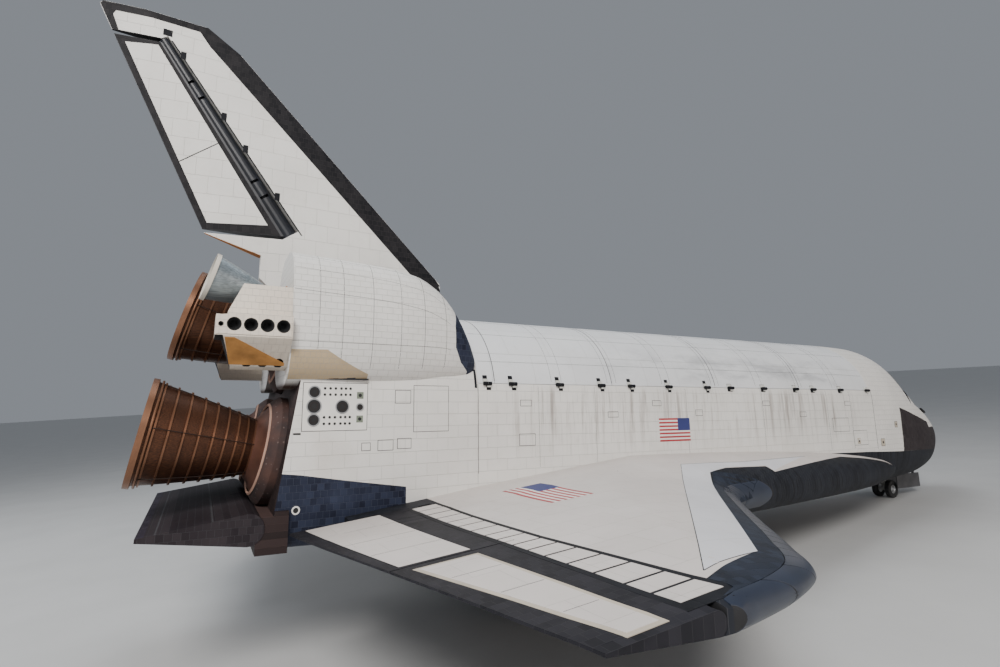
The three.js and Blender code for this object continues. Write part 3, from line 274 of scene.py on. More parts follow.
def dome_blanket(name):
    """The dark insulation around each engine, dotted with fasteners."""
    s = Shader(name)
    dots = s.node("TexVoronoi", Vector=s.scaled((0.22, 0.22, 0.22)), Scale=1, Randomness=0.25)
    dot = s.step(dots.outputs["Distance"], 0.2, 0.12)
    mottle = s.step(s.noise(0.05, detail=6), 0.35, 0.7)
    color = s.mix(mottle, (0.030, 0.020, 0.020), (0.085, 0.040, 0.030))
    color = s.mix(s.both(dot, 0.5), color, (0.20, 0.15, 0.13))
    return s.finish(color, roughness=0.8, height=s.both(dot, -1.0), depth=0.004)


def tyre_rubber(name):
    s = Shader(name)
    mottle = s.noise(0.2, detail=5)
    color = s.mix(s.step(mottle, 0.4, 0.7), (0.016, 0.016, 0.017), (0.04, 0.04, 0.041))
    return s.finish(color, roughness=0.85, height=mottle, depth=0.001)


def window_glass(name):
    s = Shader(name)
    s.bsdf.inputs["IOR"].default_value = 1.5
    return s.finish((0.008, 0.009, 0.012), roughness=0.06, coat=1.0)


# Name and panel size of each white look, then what else differs
WHITES = {
    "white": ("white_skin", (24, 12), {"streaks": True}),
    "door_white": ("door_white", (56, 30), {"over_top": True, "soot": 0.55, "tint": (0.70, 0.715, 0.73)}),
    "wing_white": ("wing_white", (30, 30), {"over_top": True, "joint": 0.12, "tint": (0.62, 0.575, 0.545)}),
    "patch_white": ("patch_white", (40, 40), {"over_top": True, "joint": 0.08, "tint": (0.63, 0.63, 0.655)}),
    "fin_white": ("fin_white", (26, 20), {}),
    "pod_white": ("pod_white", (11, 6), {"tint": (0.76, 0.75, 0.72), "scorched": True}),
    "pod_worn": ("pod_worn_tiles", (5, 5), {"tint": (0.50, 0.39, 0.25)}),
    "housing_white": ("housing_white", (6, 6), {"joint": 0.1, "tint": (0.72, 0.645, 0.55)}),
    "nose_white": ("nose_white", (8, 8), {}),
}
# Plane of the tiles, then the colours of a dark tile, a pale tile and a joint
BLACKS = {
    "side_tiles": ("xz", (0.010, 0.012, 0.024), (0.040, 0.050, 0.088), (0.075, 0.085, 0.12)),
    "flap_tiles": ("xy", (0.016, 0.012, 0.020), (0.050, 0.042, 0.062), (0.07, 0.05, 0.06)),
    "base_tiles": ("yz", (0.018, 0.012, 0.012), (0.060, 0.038, 0.036), (0.085, 0.055, 0.05)),
    "edge_tiles": ("xy", (0.011, 0.014, 0.022), (0.032, 0.042, 0.066), (0.018, 0.022, 0.03)),
    "cheek_dark": ("xz", (0.022, 0.017, 0.018), (0.050, 0.040, 0.042), (0.045, 0.036, 0.036)),
    "fin_tiles": ("xz", (0.007, 0.007, 0.009), (0.026, 0.024, 0.026), (0.055, 0.05, 0.05)),
    "elevon_tiles": ("xy", (0.009, 0.009, 0.012), (0.028, 0.027, 0.034), (0.04, 0.038, 0.042)),
}
# Name, colour, roughness, metallic share and variation, then what else differs
PLAINS = {
    "edge_black": ("edge_black", (0.012, 0.013, 0.017), 0.6, 0, 0.5, {"sheen": 0.15}),
    "seam": ("dark_seam", (0.03, 0.03, 0.032), 0.8, 0, 0.25, {"sheen": 0.15}),
    "seal": ("blue_grey_seal", (0.09, 0.11, 0.15), 0.6, 0, 0.35, {}),
    "beige": ("beige_border", (0.52, 0.46, 0.37), 0.75, 0, 0.2, {}),
    "nose_carbon": ("nose_carbon", (0.11, 0.072, 0.058), 0.42, 0, 0.35, {}),
    "edge_carbon": ("edge_carbon", (0.018, 0.025, 0.045), 0.38, 0, 0.3, {"depth": 0.0004}),
    "spine": ("rudder_spine", (0.010, 0.012, 0.018), 0.45, 0, 0.5, {}),
    "rudder_inner": ("rudder_inner", (0.035, 0.036, 0.04), 0.5, 0.2, 0.25, {}),
    "stained": ("stained_tiles", (0.55, 0.26, 0.07), 0.8, 0, 0.5, {}),
    "gear_box": ("dark_line", (0.035, 0.022, 0.018), 0.5, 0.5, 0.4, {}),
    "gear_door": ("gear_door", (0.08, 0.08, 0.085), 0.55, 0, 0.4, {}),
    "interior": ("cabin_interior", (0.33, 0.35, 0.34), 0.7, 0, 0.25, {}),
    "bay": ("bay_liner", (0.62, 0.62, 0.58), 0.85, 0, 0.18, {}),
    "radiator": ("radiator_silver", (0.80, 0.82, 0.84), 0.25, 0.6, 0.1, {}),
    "structure": ("green_structure", (0.18, 0.21, 0.16), 0.55, 0, 0.3, {}),
    "band": ("bell_band", (0.26, 0.125, 0.07), 0.4, 0.7, 0.3, {}),
    "dome_ring": ("dome_ring", (0.45, 0.27, 0.20), 0.7, 0, 0.25, {}),
    "shield": ("engine_shield", (0.10, 0.038, 0.022), 0.6, 0.2, 0.5, {}),
    "cream": ("cream_rim", (0.62, 0.58, 0.50), 0.5, 0, 0.15, {}),
    "metal": ("gear_paint", (0.60, 0.60, 0.58), 0.35, 0.3, 0.25, {}),
    "chrome": ("strut_chrome", (0.75, 0.75, 0.75), 0.12, 1.0, 0.05, {}),
    "hub": ("wheel_hub", (0.42, 0.43, 0.44), 0.4, 0.6, 0.25, {}),
    "port_dark": ("port_dark", (0.012, 0.012, 0.013), 0.7, 0, 0.25, {}),
    "red": ("flag_red", (0.42, 0.035, 0.045), 0.6, 0, 0.15, {}),
    "blue": ("flag_blue", (0.025, 0.035, 0.16), 0.6, 0, 0.15, {}),
    "flag_white": ("flag_white", (0.78, 0.76, 0.72), 0.6, 0, 0.08, {}),
    "rust": ("orange_blanket", (0.50, 0.19, 0.045), 0.85, 0, 0.35, {}),
}
LOOK = {
    "belly": black_tiles("belly_tiles", base=(0.007, 0.008, 0.011), pale=(0.024, 0.027, 0.036), spin=45),
    "flap_body": black_tiles("flap_body", "xz", (0.016, 0.012, 0.015), (0.042, 0.034, 0.038)),
    "glass": window_glass("window_glass"),
    "bell": nozzle_metal("main_bell", (0.15, 0.060, 0.028), (0.026, 0.013, 0.010)),
    "bell_inside": nozzle_metal("bell_inside", (0.10, 0.085, 0.075), (0.035, 0.03, 0.028), roughness=0.5),
    "orbital_bell": nozzle_metal("orbital_bell", (0.36, 0.42, 0.45), (0.17, 0.20, 0.22), around=1.0),
    "dome": dome_blanket("dome_blanket"),
    "rubber": tyre_rubber("tyre_rubber"),
}
LOOK.update({key: white_skin(name, panel, **more) for key, (name, panel, more) in WHITES.items()})
LOOK.update({key: black_tiles(key, *values) for key, values in BLACKS.items()})
LOOK.update({key: plain(*values, **more) for key, (*values, more) in PLAINS.items()})

# Meshes


def object_of(name, vertices, faces, look, matrix=to_row):
    mesh = bpy.data.meshes.new(name)
    mesh.from_pydata([matrix @ Vector(v) for v in vertices], [], faces)
    mesh.update()
    obj = bpy.data.objects.new(name, mesh)
    bpy.context.scene.collection.objects.link(obj)
    mesh.materials.append(LOOK[look])
    return outward(obj)


def outward(obj, weld=False):
    """Turns a mesh's faces outward, after merging the points that coincide where asked."""
    bm = bmesh.new()
    bm.from_mesh(obj.data)
    if weld:
        bmesh.ops.remove_doubles(bm, verts=bm.verts, dist=1e-6)
    bmesh.ops.recalc_face_normals(bm, faces=bm.faces)
    bm.to_mesh(obj.data)
    bm.free()
    return obj


def keep(obj, body, replaces=(), angle=30):
    """Finishes a piece: smooth faces, its body and the solids that it stands for."""
    obj.data.polygons.foreach_set("use_smooth", [True] * len(obj.data.polygons))
    obj.data.set_sharp_from_angle(angle=math.radians(angle))
    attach(obj, body)
    if replaces:
        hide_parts(*replaces)
    return obj


def applied(obj, kind, **settings):
    """Changes a mesh by one modifier."""
    modifier = obj.modifiers.new("change", kind)
    for key, value in settings.items():
        setattr(modifier, key, value)
    depsgraph = bpy.context.evaluated_depsgraph_get()
    old, obj.data = obj.data, bpy.data.meshes.new_from_object(obj.evaluated_get(depsgraph))
    obj.modifiers.clear()
    bpy.data.meshes.remove(old)
    return obj


def boolean(obj, other, operation="DIFFERENCE"):
    """Cuts, joins or intersects obj with other, and removes other."""
    applied(obj, "BOOLEAN", operation=operation, object=other, solver="MANIFOLD")
    bpy.data.objects.remove(other)
    return obj


def cut(obj, *others):
    for other in others:
        boolean(obj, other)
    return obj


def join_all(name, pieces):
    """Several objects as one mesh, with their materials kept."""
    if len(pieces) > 1:
        with bpy.context.temp_override(active_object=pieces[0], selected_editable_objects=pieces):
            bpy.ops.object.join()
    pieces[0].name = name
    return pieces[0]


def keep_all(name, pieces, body, replaces=()):
    return keep(join_all(name, pieces), body, replaces)


def grid_faces(rows, count, wrap=False):
    """Faces between rows of points, each row a loop; wrap joins the last row to the first."""
    faces = []
    for i in range(rows if wrap else rows - 1):
        a, b = i * count, (i + 1) % rows * count
        for j in range(count):
            k = (j + 1) % count
            faces.append((a + j, a + k, b + k, b + j))
    return faces


def circle(count, radius=1.0, phase=0.0):
    """Points evenly round a circle."""
    angles = [2 * math.pi * (i + phase) / count for i in range(count)]
    return [(radius * math.cos(a), radius * math.sin(a)) for a in angles]


def slanted(x, half, levels):
    """Four corners at one X: both sides of Y = 0 at a lower and an upper height."""
    low, high = levels
    return [(x, half, low), (x, half, high), (x, -half, high), (x, -half, low)]


def loft(name, rings, look, matrix=to_row):
    """A skin through rings with equal numbers of points, capped at both ends."""
    count = len(rings[0])
    ends = [tuple(range(count)), tuple(range((len(rings) - 1) * count, len(rings) * count))]
    vertices = [p for ring in rings for p in ring]
    return object_of(name, vertices, grid_faces(len(rings), count) + ends, look, matrix)


def box(name, x, y, z, look="seam"):
    corners = [(y[0], z[0]), (y[1], z[0]), (y[1], z[1]), (y[0], z[1])]
    return loft(name, [[(v, a, b) for a, b in corners] for v in x], look)


def prism_y(name, outline, y, look="seam"):
    return loft(name, [[(px, v, pz) for px, pz in outline] for v in y], look)


def prism_z(name, outline, z, look="seam"):
    return loft(name, [[(px, py, v) for px, py in outline] for v in z], look)


def lathe(name, profile, look, matrix, sides=96):
    """A closed profile of (along, radius) turned about the local X axis."""
    vertices = [(s, r * c, r * d) for c, d in circle(sides) for s, r in profile]
    made = object_of(name, vertices, grid_faces(sides, len(profile), True), look, matrix)
    return outward(made, weld=True)


def frame_at(at, ahead):
    """A matrix in stations whose local X runs along ahead from the point at."""
    x = Vector(ahead).normalized()
    hint = Vector((0, 1, 0)) if abs(x.z) > 0.98 else Vector((0, 0, 1))
    y = hint.cross(x).normalized()
    turn = Matrix((x, y, x.cross(y))).transposed().to_4x4()
    return to_row @ Matrix.Translation(at) @ turn


def rod(name, start, end, radius, look, end_radius=None, sides=24):
    start, end = Vector(start), Vector(end)
    length = (end - start).length
    profile = [(0, 0), (0, radius), (length, end_radius or radius), (length, 0)]
    return lathe(name, profile, look, frame_at(start, end - start), sides)


# Curves through tables


def monotone(xs, ys):
    """A smooth curve through points that never overshoots them."""
    slopes = [(b - a) / (d - c) for a, b, c, d in zip(ys, ys[1:], xs, xs[1:])]
    tangents = [slopes[0]]
    for left, right in zip(slopes, slopes[1:]):
        tangents.append(0 if left * right <= 0 else 2 * left * right / (left + right))
    tangents.append(slopes[-1])

    def value(x):
        x = min(max(x, xs[0]), xs[-1])
        i = max(k for k in range(len(xs) - 1) if xs[k] <= x)
        h = xs[i + 1] - xs[i]
        t = (x - xs[i]) / h
        a, b = ys[i], ys[i + 1]
        p, q = tangents[i] * h, tangents[i + 1] * h
        return a + p * t + (3 * (b - a) - 2 * p - q) * t ** 2 + (2 * (a - b) + p + q) * t ** 3

    return value


def linear(xs, ys):
    """Straight stretches through points, level beyond the ends."""

    def value(x):
        x = min(max(x, xs[0]), xs[-1])
        i = max(k for k in range(len(xs) - 1) if xs[k] <= x)
        share = (x - xs[i]) / (xs[i + 1] - xs[i])
        return ys[i] + (ys[i + 1] - ys[i]) * share

    return value


# Body: X, top Z, widest Z, bottom Z, half width, top power, bottom power, spread
BODY_SECTIONS = [
    (236.0, 337, 334, 331, 3, 2, 2, 0),
    (238.5, 345, 334, 324, 11, 2, 2, 0),
    (244.0, 355, 334, 314, 21, 2, 2, 0),
    (254.0, 366, 334, 302, 33, 2, 2, 0),
    (270.0, 379, 334, 290, 45, 2, 2.1, 0),
    (300.0, 397, 335, 278, 59, 2, 2.3, 0),
    (330.0, 411, 336, 271, 70, 2, 2.6, 0),
    (362.0, 425, 338, 267, 78, 2, 2.9, 0),
    (392.0, 454, 340, 264.5, 84, 2, 3.2, 0),
    (424.0, 480, 345, 263, 89, 2, 3.5, 0),
    (455.0, 492, 360, 262.3, 94, 2, 4, 0),
    (500.0, 498.5, 380, 262, 99, 2, 5, 0),
    (577.0, 500, 398, 262, 103.5, 2, 7, 0),
    (650.0, 500, 400, 262, 104, 2, 9, 0),
    (1307.0, 500, 400, 262, 104, 2, 9, 0),
    (1372.0, 500, 403, 262.5, 110, 2.2, 9, 1),
    (1540.0, 500, 406, 268, 121, 2.6, 9, 7),
]
SILL_Z = 416
RUN = 6 / 25.4
BODY_KINDS = (max, None, min, max, None, None, None)


def outermost(xs, ys, pick):
    """The smooth curve or the straight one through the sections, whichever lies further out."""
    straight = linear(xs, ys)
    if pick is None:
        return straight
    curved = monotone(xs, ys)
    return lambda x: pick(straight(x), curved(x))


def column_curves(rows, kinds):
    """One curve through each column of a table, over its first column."""
    xs = [row[0] for row in rows]
    return [outermost(xs, [row[i] for row in rows], pick) for i, pick in enumerate(kinds, start=1)]


def across(points):
    """X over Y along a line in plan."""
    return linear([p[1] for p in points], [p[0] for p in points])


body_curves = column_curves(BODY_SECTIONS, BODY_KINDS)
BODY_QUARTER = 28
SKIN_LIFT = 0.12  # how far a dressed skin stands off the solid under it, in inches
AFT_SWELL = 1.3  # how far the aft body's sides bulge between their end sections


def body_at(x):
    """Top, widest and bottom Z, half width, the two powers and the spread at a station."""
    top, side, bottom, half, power_up, power_down, spread = (curve(x) for curve in body_curves)
    start, end = BODY_SECTIONS[-3][0], BODY_SECTIONS[-1][0]
    if start < x < end:
        half += AFT_SWELL * math.sin(math.pi * (x - start) / (end - start))
    return top, side, bottom, half, power_up, power_down, spread


def body_ring(x, inset):
    top, side, bottom, half, power_up, power_down, spread = body_at(x)
    right = []
    for i in range(BODY_QUARTER, 0, -1):
        angle = math.pi / 2 * i / BODY_QUARTER
        out = math.cos(angle) ** (2 / power_down) if i < BODY_QUARTER else 0
        drop = (bottom + inset - side) * math.sin(angle) ** (2 / power_down)
        right.append((out * (half - inset + spread * drop / (bottom - side)), side + drop))
    for i in range(BODY_QUARTER + 1):
        angle = math.pi / 2 * i / BODY_QUARTER
        out = math.cos(angle) ** (2 / power_up) if i < BODY_QUARTER else 0
        right.append((out * (half - inset), side + (top - inset - side) * math.sin(angle) ** (2 / power_up)))
    left = [(-y, z) for y, z in right[-2:0:-1]]
    return [(x, y, z) for y, z in right + left]


def body_stations(x0, x1):
    inner = []
    x = 236.0
    while x < 1540:
        inner.append(x)
        x += 1.2 if x < 246 else 3 if x < 270 else 8 if x < 600 else 40 if x < 1290 else 14
    return [x0] + [x for x in inner if x0 + 0.5 < x < x1 - 0.5] + [x1]


def body_solid(name, x0, x1, inset, look):
    return loft(name, [body_ring(x, inset) for x in body_stations(x0, x1)], look)


def body_shell(name, x0, x1, look, thickness=0.5):
    outer = body_solid(name, x0, x1, -SKIN_LIFT, look)
    inner = body_solid("inner", max(x0 - 5, 262), x1 + 5, thickness, look)
    return boolean(outer, inner)


def side_y(x, z):
    """Half width of the body at a height on its side."""
    top, side, bottom, half, power_up, power_down, spread = body_at(x)
    if z >= side:
        return half * max(0.0, 1 - ((z - side) / (top - side)) ** power_up) ** (1 / power_up)
    share = (side - z) / (side - bottom)
    return (half + spread * share) * max(0.0, 1 - share ** power_down) ** (1 / power_down)


# Plates that lie on a surface


def draped(name, outline, surface, look, toward, lift=0.12, thickness=0.3, step=8.0):
    """A thin plate with an outline in (u, v), laid on the outside of surface(u, v)."""
    bm = bmesh.new()
    corners = [bm.verts.new((u, v, 0)) for u, v in outline]
    bm.faces.new(corners)
    bmesh.ops.triangulate(bm, faces=bm.faces)
    for axis in (0, 1):
        values = [p[axis] for p in outline]
        count = int((max(values) - min(values)) / step)
        for i in range(1, count + 1):
            at = [0, 0, 0]
            at[axis] = min(values) + (max(values) - min(values)) * i / (count + 1)
            direction = [0, 0, 0]
            direction[axis] = 1
            geometry = bm.verts[:] + bm.edges[:] + bm.faces[:]
            bmesh.ops.bisect_plane(bm, geom=geometry, dist=1e-5, plane_co=at, plane_no=direction)
    bm.verts.index_update()
    flat = [(v.co.x, v.co.y) for v in bm.verts]
    faces = [[v.index for v in f.verts] for f in bm.faces]
    rim = [e for e in bm.edges if e.is_boundary]
    rim_pairs = [(e.verts[0].index, e.verts[1].index) for e in rim]
    bm.free()
    near = 0.05
    tops, bottoms = [], []
    for u, v in flat:
        point = Vector(surface(u, v))
        du = Vector(surface(u + near, v)) - Vector(surface(u - near, v))
        dv = Vector(surface(u, v + near)) - Vector(surface(u, v - near))
        normal = du.cross(dv).normalized()
        if normal.dot(Vector(toward)) < 0:
            normal = -normal
        tops.append(point + normal * lift)
        bottoms.append(point + normal * (lift - thickness))
    count = len(flat)
    all_faces = [tuple(f) for f in faces] + [tuple(i + count for i in reversed(f)) for f in faces]
    all_faces += [(a, b, b + count, a + count) for a, b in rim_pairs]
    return object_of(name, tops + bottoms, all_faces, look)


# Wing: Y, leading X and Z, crest X and Z, keel Z, keel Z at the hinge, trailing X and Z
WING_SECTIONS = [
    (60, 440, 290, 1100, 332, 263.4, 265.5, 1514, 285),
    (105, 545, 290, 1100, 332, 263.4, 265.5, 1506.6, 286),
    (125, 648, 289, 1120, 331, 263.6, 266, 1503, 286.5),
    (150, 804, 288, 1145, 328, 264, 267.5, 1498.6, 287.3),
    (172, 938, 287, 1180, 325, 265, 269, 1494.7, 288.5),
    (184, 1001, 286, 1198, 322.5, 266, 270.3, 1492.6, 289),
    (196, 1028, 286, 1210, 321, 267, 271.5, 1490.5, 290),
    (215, 1051, 286.5, 1222, 320, 269, 273.5, 1487, 291),
    (260, 1096, 289, 1250, 318.5, 273.5, 278, 1479, 294),
    (312.5, 1148.5, 292.5, 1280, 318, 280, 284, 1469.8, 297.5),
    (400, 1236, 299.5, 1325, 317, 290.5, 293.5, 1454.3, 303),
    (436, 1275, 302.6, 1345, 316.4, 295.4, 297.6, 1447.9, 304.9),
    (452, 1312, 304.5, 1362, 315.7, 298, 299.7, 1445.1, 305.9),
    (462, 1350, 306, 1374, 314.8, 300.5, 301.3, 1443.3, 306.3),
    (468.34, 1374, 307, 1384, 313, 303, 303, 1442.2, 306.5),
]
WING_TIP_Y = 468.34
HINGE_X = 1387
TRAILING_HALF = 0.7
LEADING_DEPTH = 24
EDGE_END_X = 1378
wing_curves = column_curves(WING_SECTIONS, (min, *[None] * 7))


def edge_back(y):
    """X of the rear edge of the carbon panels."""
    return min(wing_curves[0](y) + LEADING_DEPTH, EDGE_END_X)


def wing_z(x, y, upper=True):
    """Height of the wing's upper or lower face at a place seen from above."""
    le_x, le_z, crest_x, crest_z, keel_z, hinge_z, te_x, te_z = (curve(abs(y)) for curve in wing_curves)
    half = TRAILING_HALF if upper else -TRAILING_HALF
    if upper:
        far_x, far_z = crest_x, crest_z
    else:
        far_x, far_z = min(le_x + (HINGE_X - le_x) * 0.45, le_x + 110), keel_z
    x = max(x, le_x)
    if x < far_x:
        share = (x - le_x) / (far_x - le_x)
        return le_z + (far_z - le_z) * math.sqrt(1 - (1 - share) ** 2)
    if not upper:
        if x < HINGE_X:
            return far_z + (hinge_z - far_z) * (x - far_x) / (HINGE_X - far_x)
        far_x, far_z = HINGE_X, hinge_z
    return far_z + (te_z + half - far_z) * (x - far_x) / (te_x - far_x)


# Where each kind of surface lies


def side_surface(sign):
    """The body's side: u is X and v is Z."""
    return lambda u, v: (u, sign * (side_y(u, v) + SKIN_LIFT), v)


def over_surface(sign):
    """The body's rounded top: u is X and v the angle up from its widest line."""

    def place(u, v):
        top, side, _, half, power, _, _ = body_at(u)
        angle = math.radians(v)
        out = max(math.cos(angle), 0) ** (2 / power)
        grown = half + SKIN_LIFT
        return (u, sign * grown * out, side + (top + SKIN_LIFT - side) * math.sin(angle) ** (2 / power))

    return place


def wing_surface(sign):
    """The wing's upper face: u is X and v the distance from the middle."""
    return lambda u, v: (u, sign * v, wing_z(u, v))


def rectangle(u0, u1, v0, v1):
    return [(u0, v0), (u1, v0), (u1, v1), (u0, v1)]


def side_plate(name, outline, sign, look, **sizes):
    return draped(name, outline, side_surface(sign), look, (0, sign, 0), **sizes)


def outlined_panel(name, outline, sign, look, edge=0.5):
    """A panel that stands a little proud of a dark seam round it."""
    centre = [sum(p[i] for p in outline) / len(outline) for i in (0, 1)]
    grown = []
    for point in outline:
        grown.append(tuple(c + (p - c) + math.copysign(edge, p - c) for p, c in zip(point, centre)))
    panel = side_plate(name, outline, sign, look, lift=0.2)
    return join_all(name, [panel, side_plate("seam", grown, sign, "seam")])


# Forward body, mid body and doors

NOSE_CAP_X = 262
CREW_END_X = 577
BAY_X = (582, 1307)
AFT_END_X = 1531
THRUSTER_X = (270, 352)
THRUSTER_Z = 352
NOSE_WELL = {"x": (292, 398), "half": 18}
HATCH = {"x": 430, "z": 362, "radius": 20}
SEAM = 0.25
BASE_PLANE = {"x": 1507, "z": 334, "slope": -0.152}
# The line between the dark belly and the pale sides, in X and Z
CHINE = [(200, 300), (262, 309), (330, 312), (500, 315), (600, 318), (730, 320), (900, 320), (1200, 317),
         (1390, 296), (1390.4, 315), (1446, 324), (1492, 332), (1560, 340)]
# Outline, in X and Z, of the region of each forward side that is drawn dark, with a dark tile pattern
DARK_CHEEK = [(240, 300), (240, 337), (268, 343), (330, 357), (415, 374), (487, 388), (492, 300)]
PANES = [
    [(370, 2), (398, 2), (404, 24), (376, 28)],
    [(377, 31), (405, 27), (414, 46), (388, 56)],
    [(390, 58), (415, 49), (430, 62), (412, 78)],
]
OVERHEAD_PANE = [(452, 8), (474, 8), (474, 30), (452, 28)]
MARK_X = [590, 662, 731, 773, 845, 914, 960, 1030, 1093, 1140, 1201, 1264, 1296]
HINGE_Y = 105.3
KNUCKLE = 2.1
DOOR_SEAM_X = [762, 942, 1122, 1286]
SIDE_FLAG = {"x": (997, 1050), "z": (347, 376)}
WING_FLAG = {"x": (1305, 1261), "y": (151, 235)}


def base_x(z):
    return BASE_PLANE["x"] + (z - BASE_PLANE["z"]) * BASE_PLANE["slope"]


def below_chine(name, drop=0.0):
    outline = [(x, z - drop) for x, z in CHINE] + [(1560, 200), (200, 200)]
    return prism_y(name, outline, (-140, 140))


def side_cylinder(name, x, z, radius, y, look="seam"):
    """A short round plug that runs out through the side between two values of Y."""
    return rod(name, (x, y[0], z), (x, y[1], z), radius, look, sides=64)


def pane_column(outline, sign, grow, z):
    centre = [sum(p[i] for p in outline) / len(outline) for i in (0, 1)]
    points = []
    for x, y in outline:
        away = Vector((x - centre[0], y - centre[1]))
        away *= 1 + grow / away.length
        points.append((centre[0] + away.x, sign * (centre[1] + away.y)))
    return prism_z("pane_column", points, z)


def all_panes():
    """Each window's outline, side and lowest Z."""
    for sign in (1, -1):
        for outline, low in zip(PANES, (425, 410, 395)):
            yield outline, sign, (low, 500)
        yield OVERHEAD_PANE, sign, (475, 505)


def forward_skins():
    module = box("module_room", (THRUSTER_X[0] - SEAM, THRUSTER_X[1] + SEAM), (-90, 90), (THRUSTER_Z - SEAM, 480))
    well = box("well_room", NOSE_WELL["x"], (-NOSE_WELL["half"], NOSE_WELL["half"]), (240, 330))
    hatch_hole = side_cylinder("hatch_room", HATCH["x"], HATCH["z"], HATCH["radius"] + 0.3, (-130, -60))
    whole = body_shell("forward_skin", NOSE_CAP_X + 0.1, CREW_END_X - 0.1, "nose_white")
    cut(whole, module, well, hatch_hole)
    for outline, sign, z in all_panes():
        cut(whole, pane_column(outline, sign, 0.6, z))
    belly = copy_of(whole, "forward_belly_skin", "belly")
    boolean(belly, below_chine("belly_zone"), "INTERSECT")
    cut(whole, below_chine("pale_zone", -SEAM))
    # The forward sides are drawn dark inside that outline
    cheek = copy_of(whole, "dark_cheek_skin", "cheek_dark")
    boolean(cheek, prism_y("cheek_zone", DARK_CHEEK, (-140, 140)), "INTERSECT")
    grown = [(x + (SEAM if x > 400 else 0), z + SEAM) for x, z in DARK_CHEEK]
    cut(whole, prism_y("cheek_room", [(p[0], p[1] if p[1] > 301 else 250) for p in grown], (-140, 140)))
    keep(whole, "airframe")
    for piece in (cheek, belly):
        keep(piece, "airframe")


def copy_of(obj, name, look):
    made = obj.copy()
    made.data = obj.data.copy()
    made.name = name
    made.data.materials.clear()
    made.data.materials.append(LOOK[look])
    bpy.context.scene.collection.objects.link(made)
    return made


def hatch_skin():
    x, z, radius = HATCH["x"], HATCH["z"], HATCH["radius"]
    shell = body_shell("side_hatch_skin", 400, 460, "nose_white", thickness=1.0)
    boolean(shell, side_cylinder("plug", x, z, radius - 0.3, (-130, -60)), "INTERSECT")
    keep(shell, "hatch")
    keep(ring_on_side("hatch_ring", x, z, radius - 2.4, 1.4, -1, "edge_black"), "hatch")
    keep(disc_on_side("hatch_window", x, z, 5.0, -1, "glass", lift=0.5), "hatch")
    frame_ring = ring_on_side("hatch_window_frame", x, z, 6.6, 1.5, -1, "edge_black", lift=0.7)
    keep(frame_ring, "hatch")
    keep(ring_on_side("hatch_collar", x, z, radius + 2.2, 1.7, -1, "cream"), "airframe")


SIDE_THICKNESS = 0.6  # of the rings and discs on the body's side


def ring_on_side(name, x, z, radius, width, sign, look, lift=0.35):
    """A flat ring that follows the body's side."""
    surface = side_surface(sign)
    low = lift - SIDE_THICKNESS
    vertices = []
    for c, d in circle(64):
        for r, out in ((radius, lift), (radius - width, lift), (radius - width, low), (radius, low)):
            px, py, pz = surface(x + r * c, z + r * d)
            vertices.append((px, py + sign * out, pz))
    return object_of(name, vertices, grid_faces(64, 4, True), look)


def disc_on_side(name, x, z, radius, sign, look, lift=0.3, steps=40):
    outline = [(x + u, z + v) for u, v in circle(steps, radius)]
    return side_plate(name, outline, sign, look, lift=lift, thickness=SIDE_THICKNESS, step=radius)


def nose_cap():
    rings = [body_ring(x, -SKIN_LIFT) for x in body_stations(236, NOSE_CAP_X - 0.3)]
    cap = loft("nose_cap_shell", rings, "nose_carbon")
    keep(cap, "airframe", ("nose_cap",))
    seal = body_shell("nose_cap_seal", NOSE_CAP_X - 0.6, NOSE_CAP_X + 1.2, "seal", thickness=1.5)
    keep(seal, "airframe")


def thruster_ports():
    """Place, direction and radius of each small engine in the nose module."""
    for y in (-13, 0, 13):
        yield (292, y, 394), (-0.72, 0, 0.7), 4.4
    for sign in (1, -1):
        for x, half, z in ((318, 55, 381), (332, 59, 384)):
            yield (x, sign * half, z), (0, sign * 0.85, 0.52), 4.4


def nose_thrusters():
    module = body_solid("nose_thruster_module", THRUSTER_X[0] - 4, THRUSTER_X[1] + 4, -SKIN_LIFT, "nose_white")
    boolean(module, box("module_zone", THRUSTER_X, (-90, 90), (THRUSTER_Z, 480)), "INTERSECT")
    cups = []
    for i, (at, direction, radius) in enumerate(thruster_ports()):
        out = Vector(direction).normalized()
        start, end = Vector(at) - out * 9, Vector(at) + out * 14
        cut(module, rod("port_room", start, end, radius * 0.7 + 0.3, "seam", radius * 1.25 + 0.3, 40))
        place = frame_at(start, out)
        slope = (radius * 0.55) / 23
        lip = 8.5
        profile = [(0.4, 0), (0.4, radius * 0.66), (lip, radius * 0.66 + slope * lip)]
        profile += [(lip, radius * 0.50 + slope * lip), (1.2, radius * 0.42), (1.2, 0)]
        cups.append(lathe(f"port_cup_{i}", profile, "port_dark", place, 40))
    keep(module, "airframe", ("forward_thruster_module",))
    keep_all("nose_thruster_cups", cups, "airframe")


def windows():
    glass = body_shell("window_glass", 352, 556, "glass", thickness=1.6)
    cut(glass, body_shell("glass_lift", 340, 560, "glass", thickness=0.75))
    zones = [pane_column(outline, sign, 0.5, z) for outline, sign, z in all_panes()]
    boolean(glass, join_all("pane_zones", zones), "INTERSECT")
    keep(glass, "airframe")
    frames = []
    for outline, sign, z in all_panes():
        rim = body_shell("rim", 350, 500, "edge_black", thickness=1.0)
        boolean(rim, pane_column(outline, sign, 2.6, z), "INTERSECT")
        cut(rim, pane_column(outline, sign, 0.2, z))
        raise_mesh(rim, 0.18)
        frames.append(rim)
    keep_all("window_frames", frames, "airframe")


def raise_mesh(obj, lift):
    """Scales a mesh a little out from the body's axis, by the lift at its half width."""
    axis_z = 390
    for vertex in obj.data.vertices:
        place = to_row.inverted() @ vertex.co
        out = Vector((0, place.y, place.z - axis_z))
        place += out.normalized() * lift
        vertex.co = to_row @ place


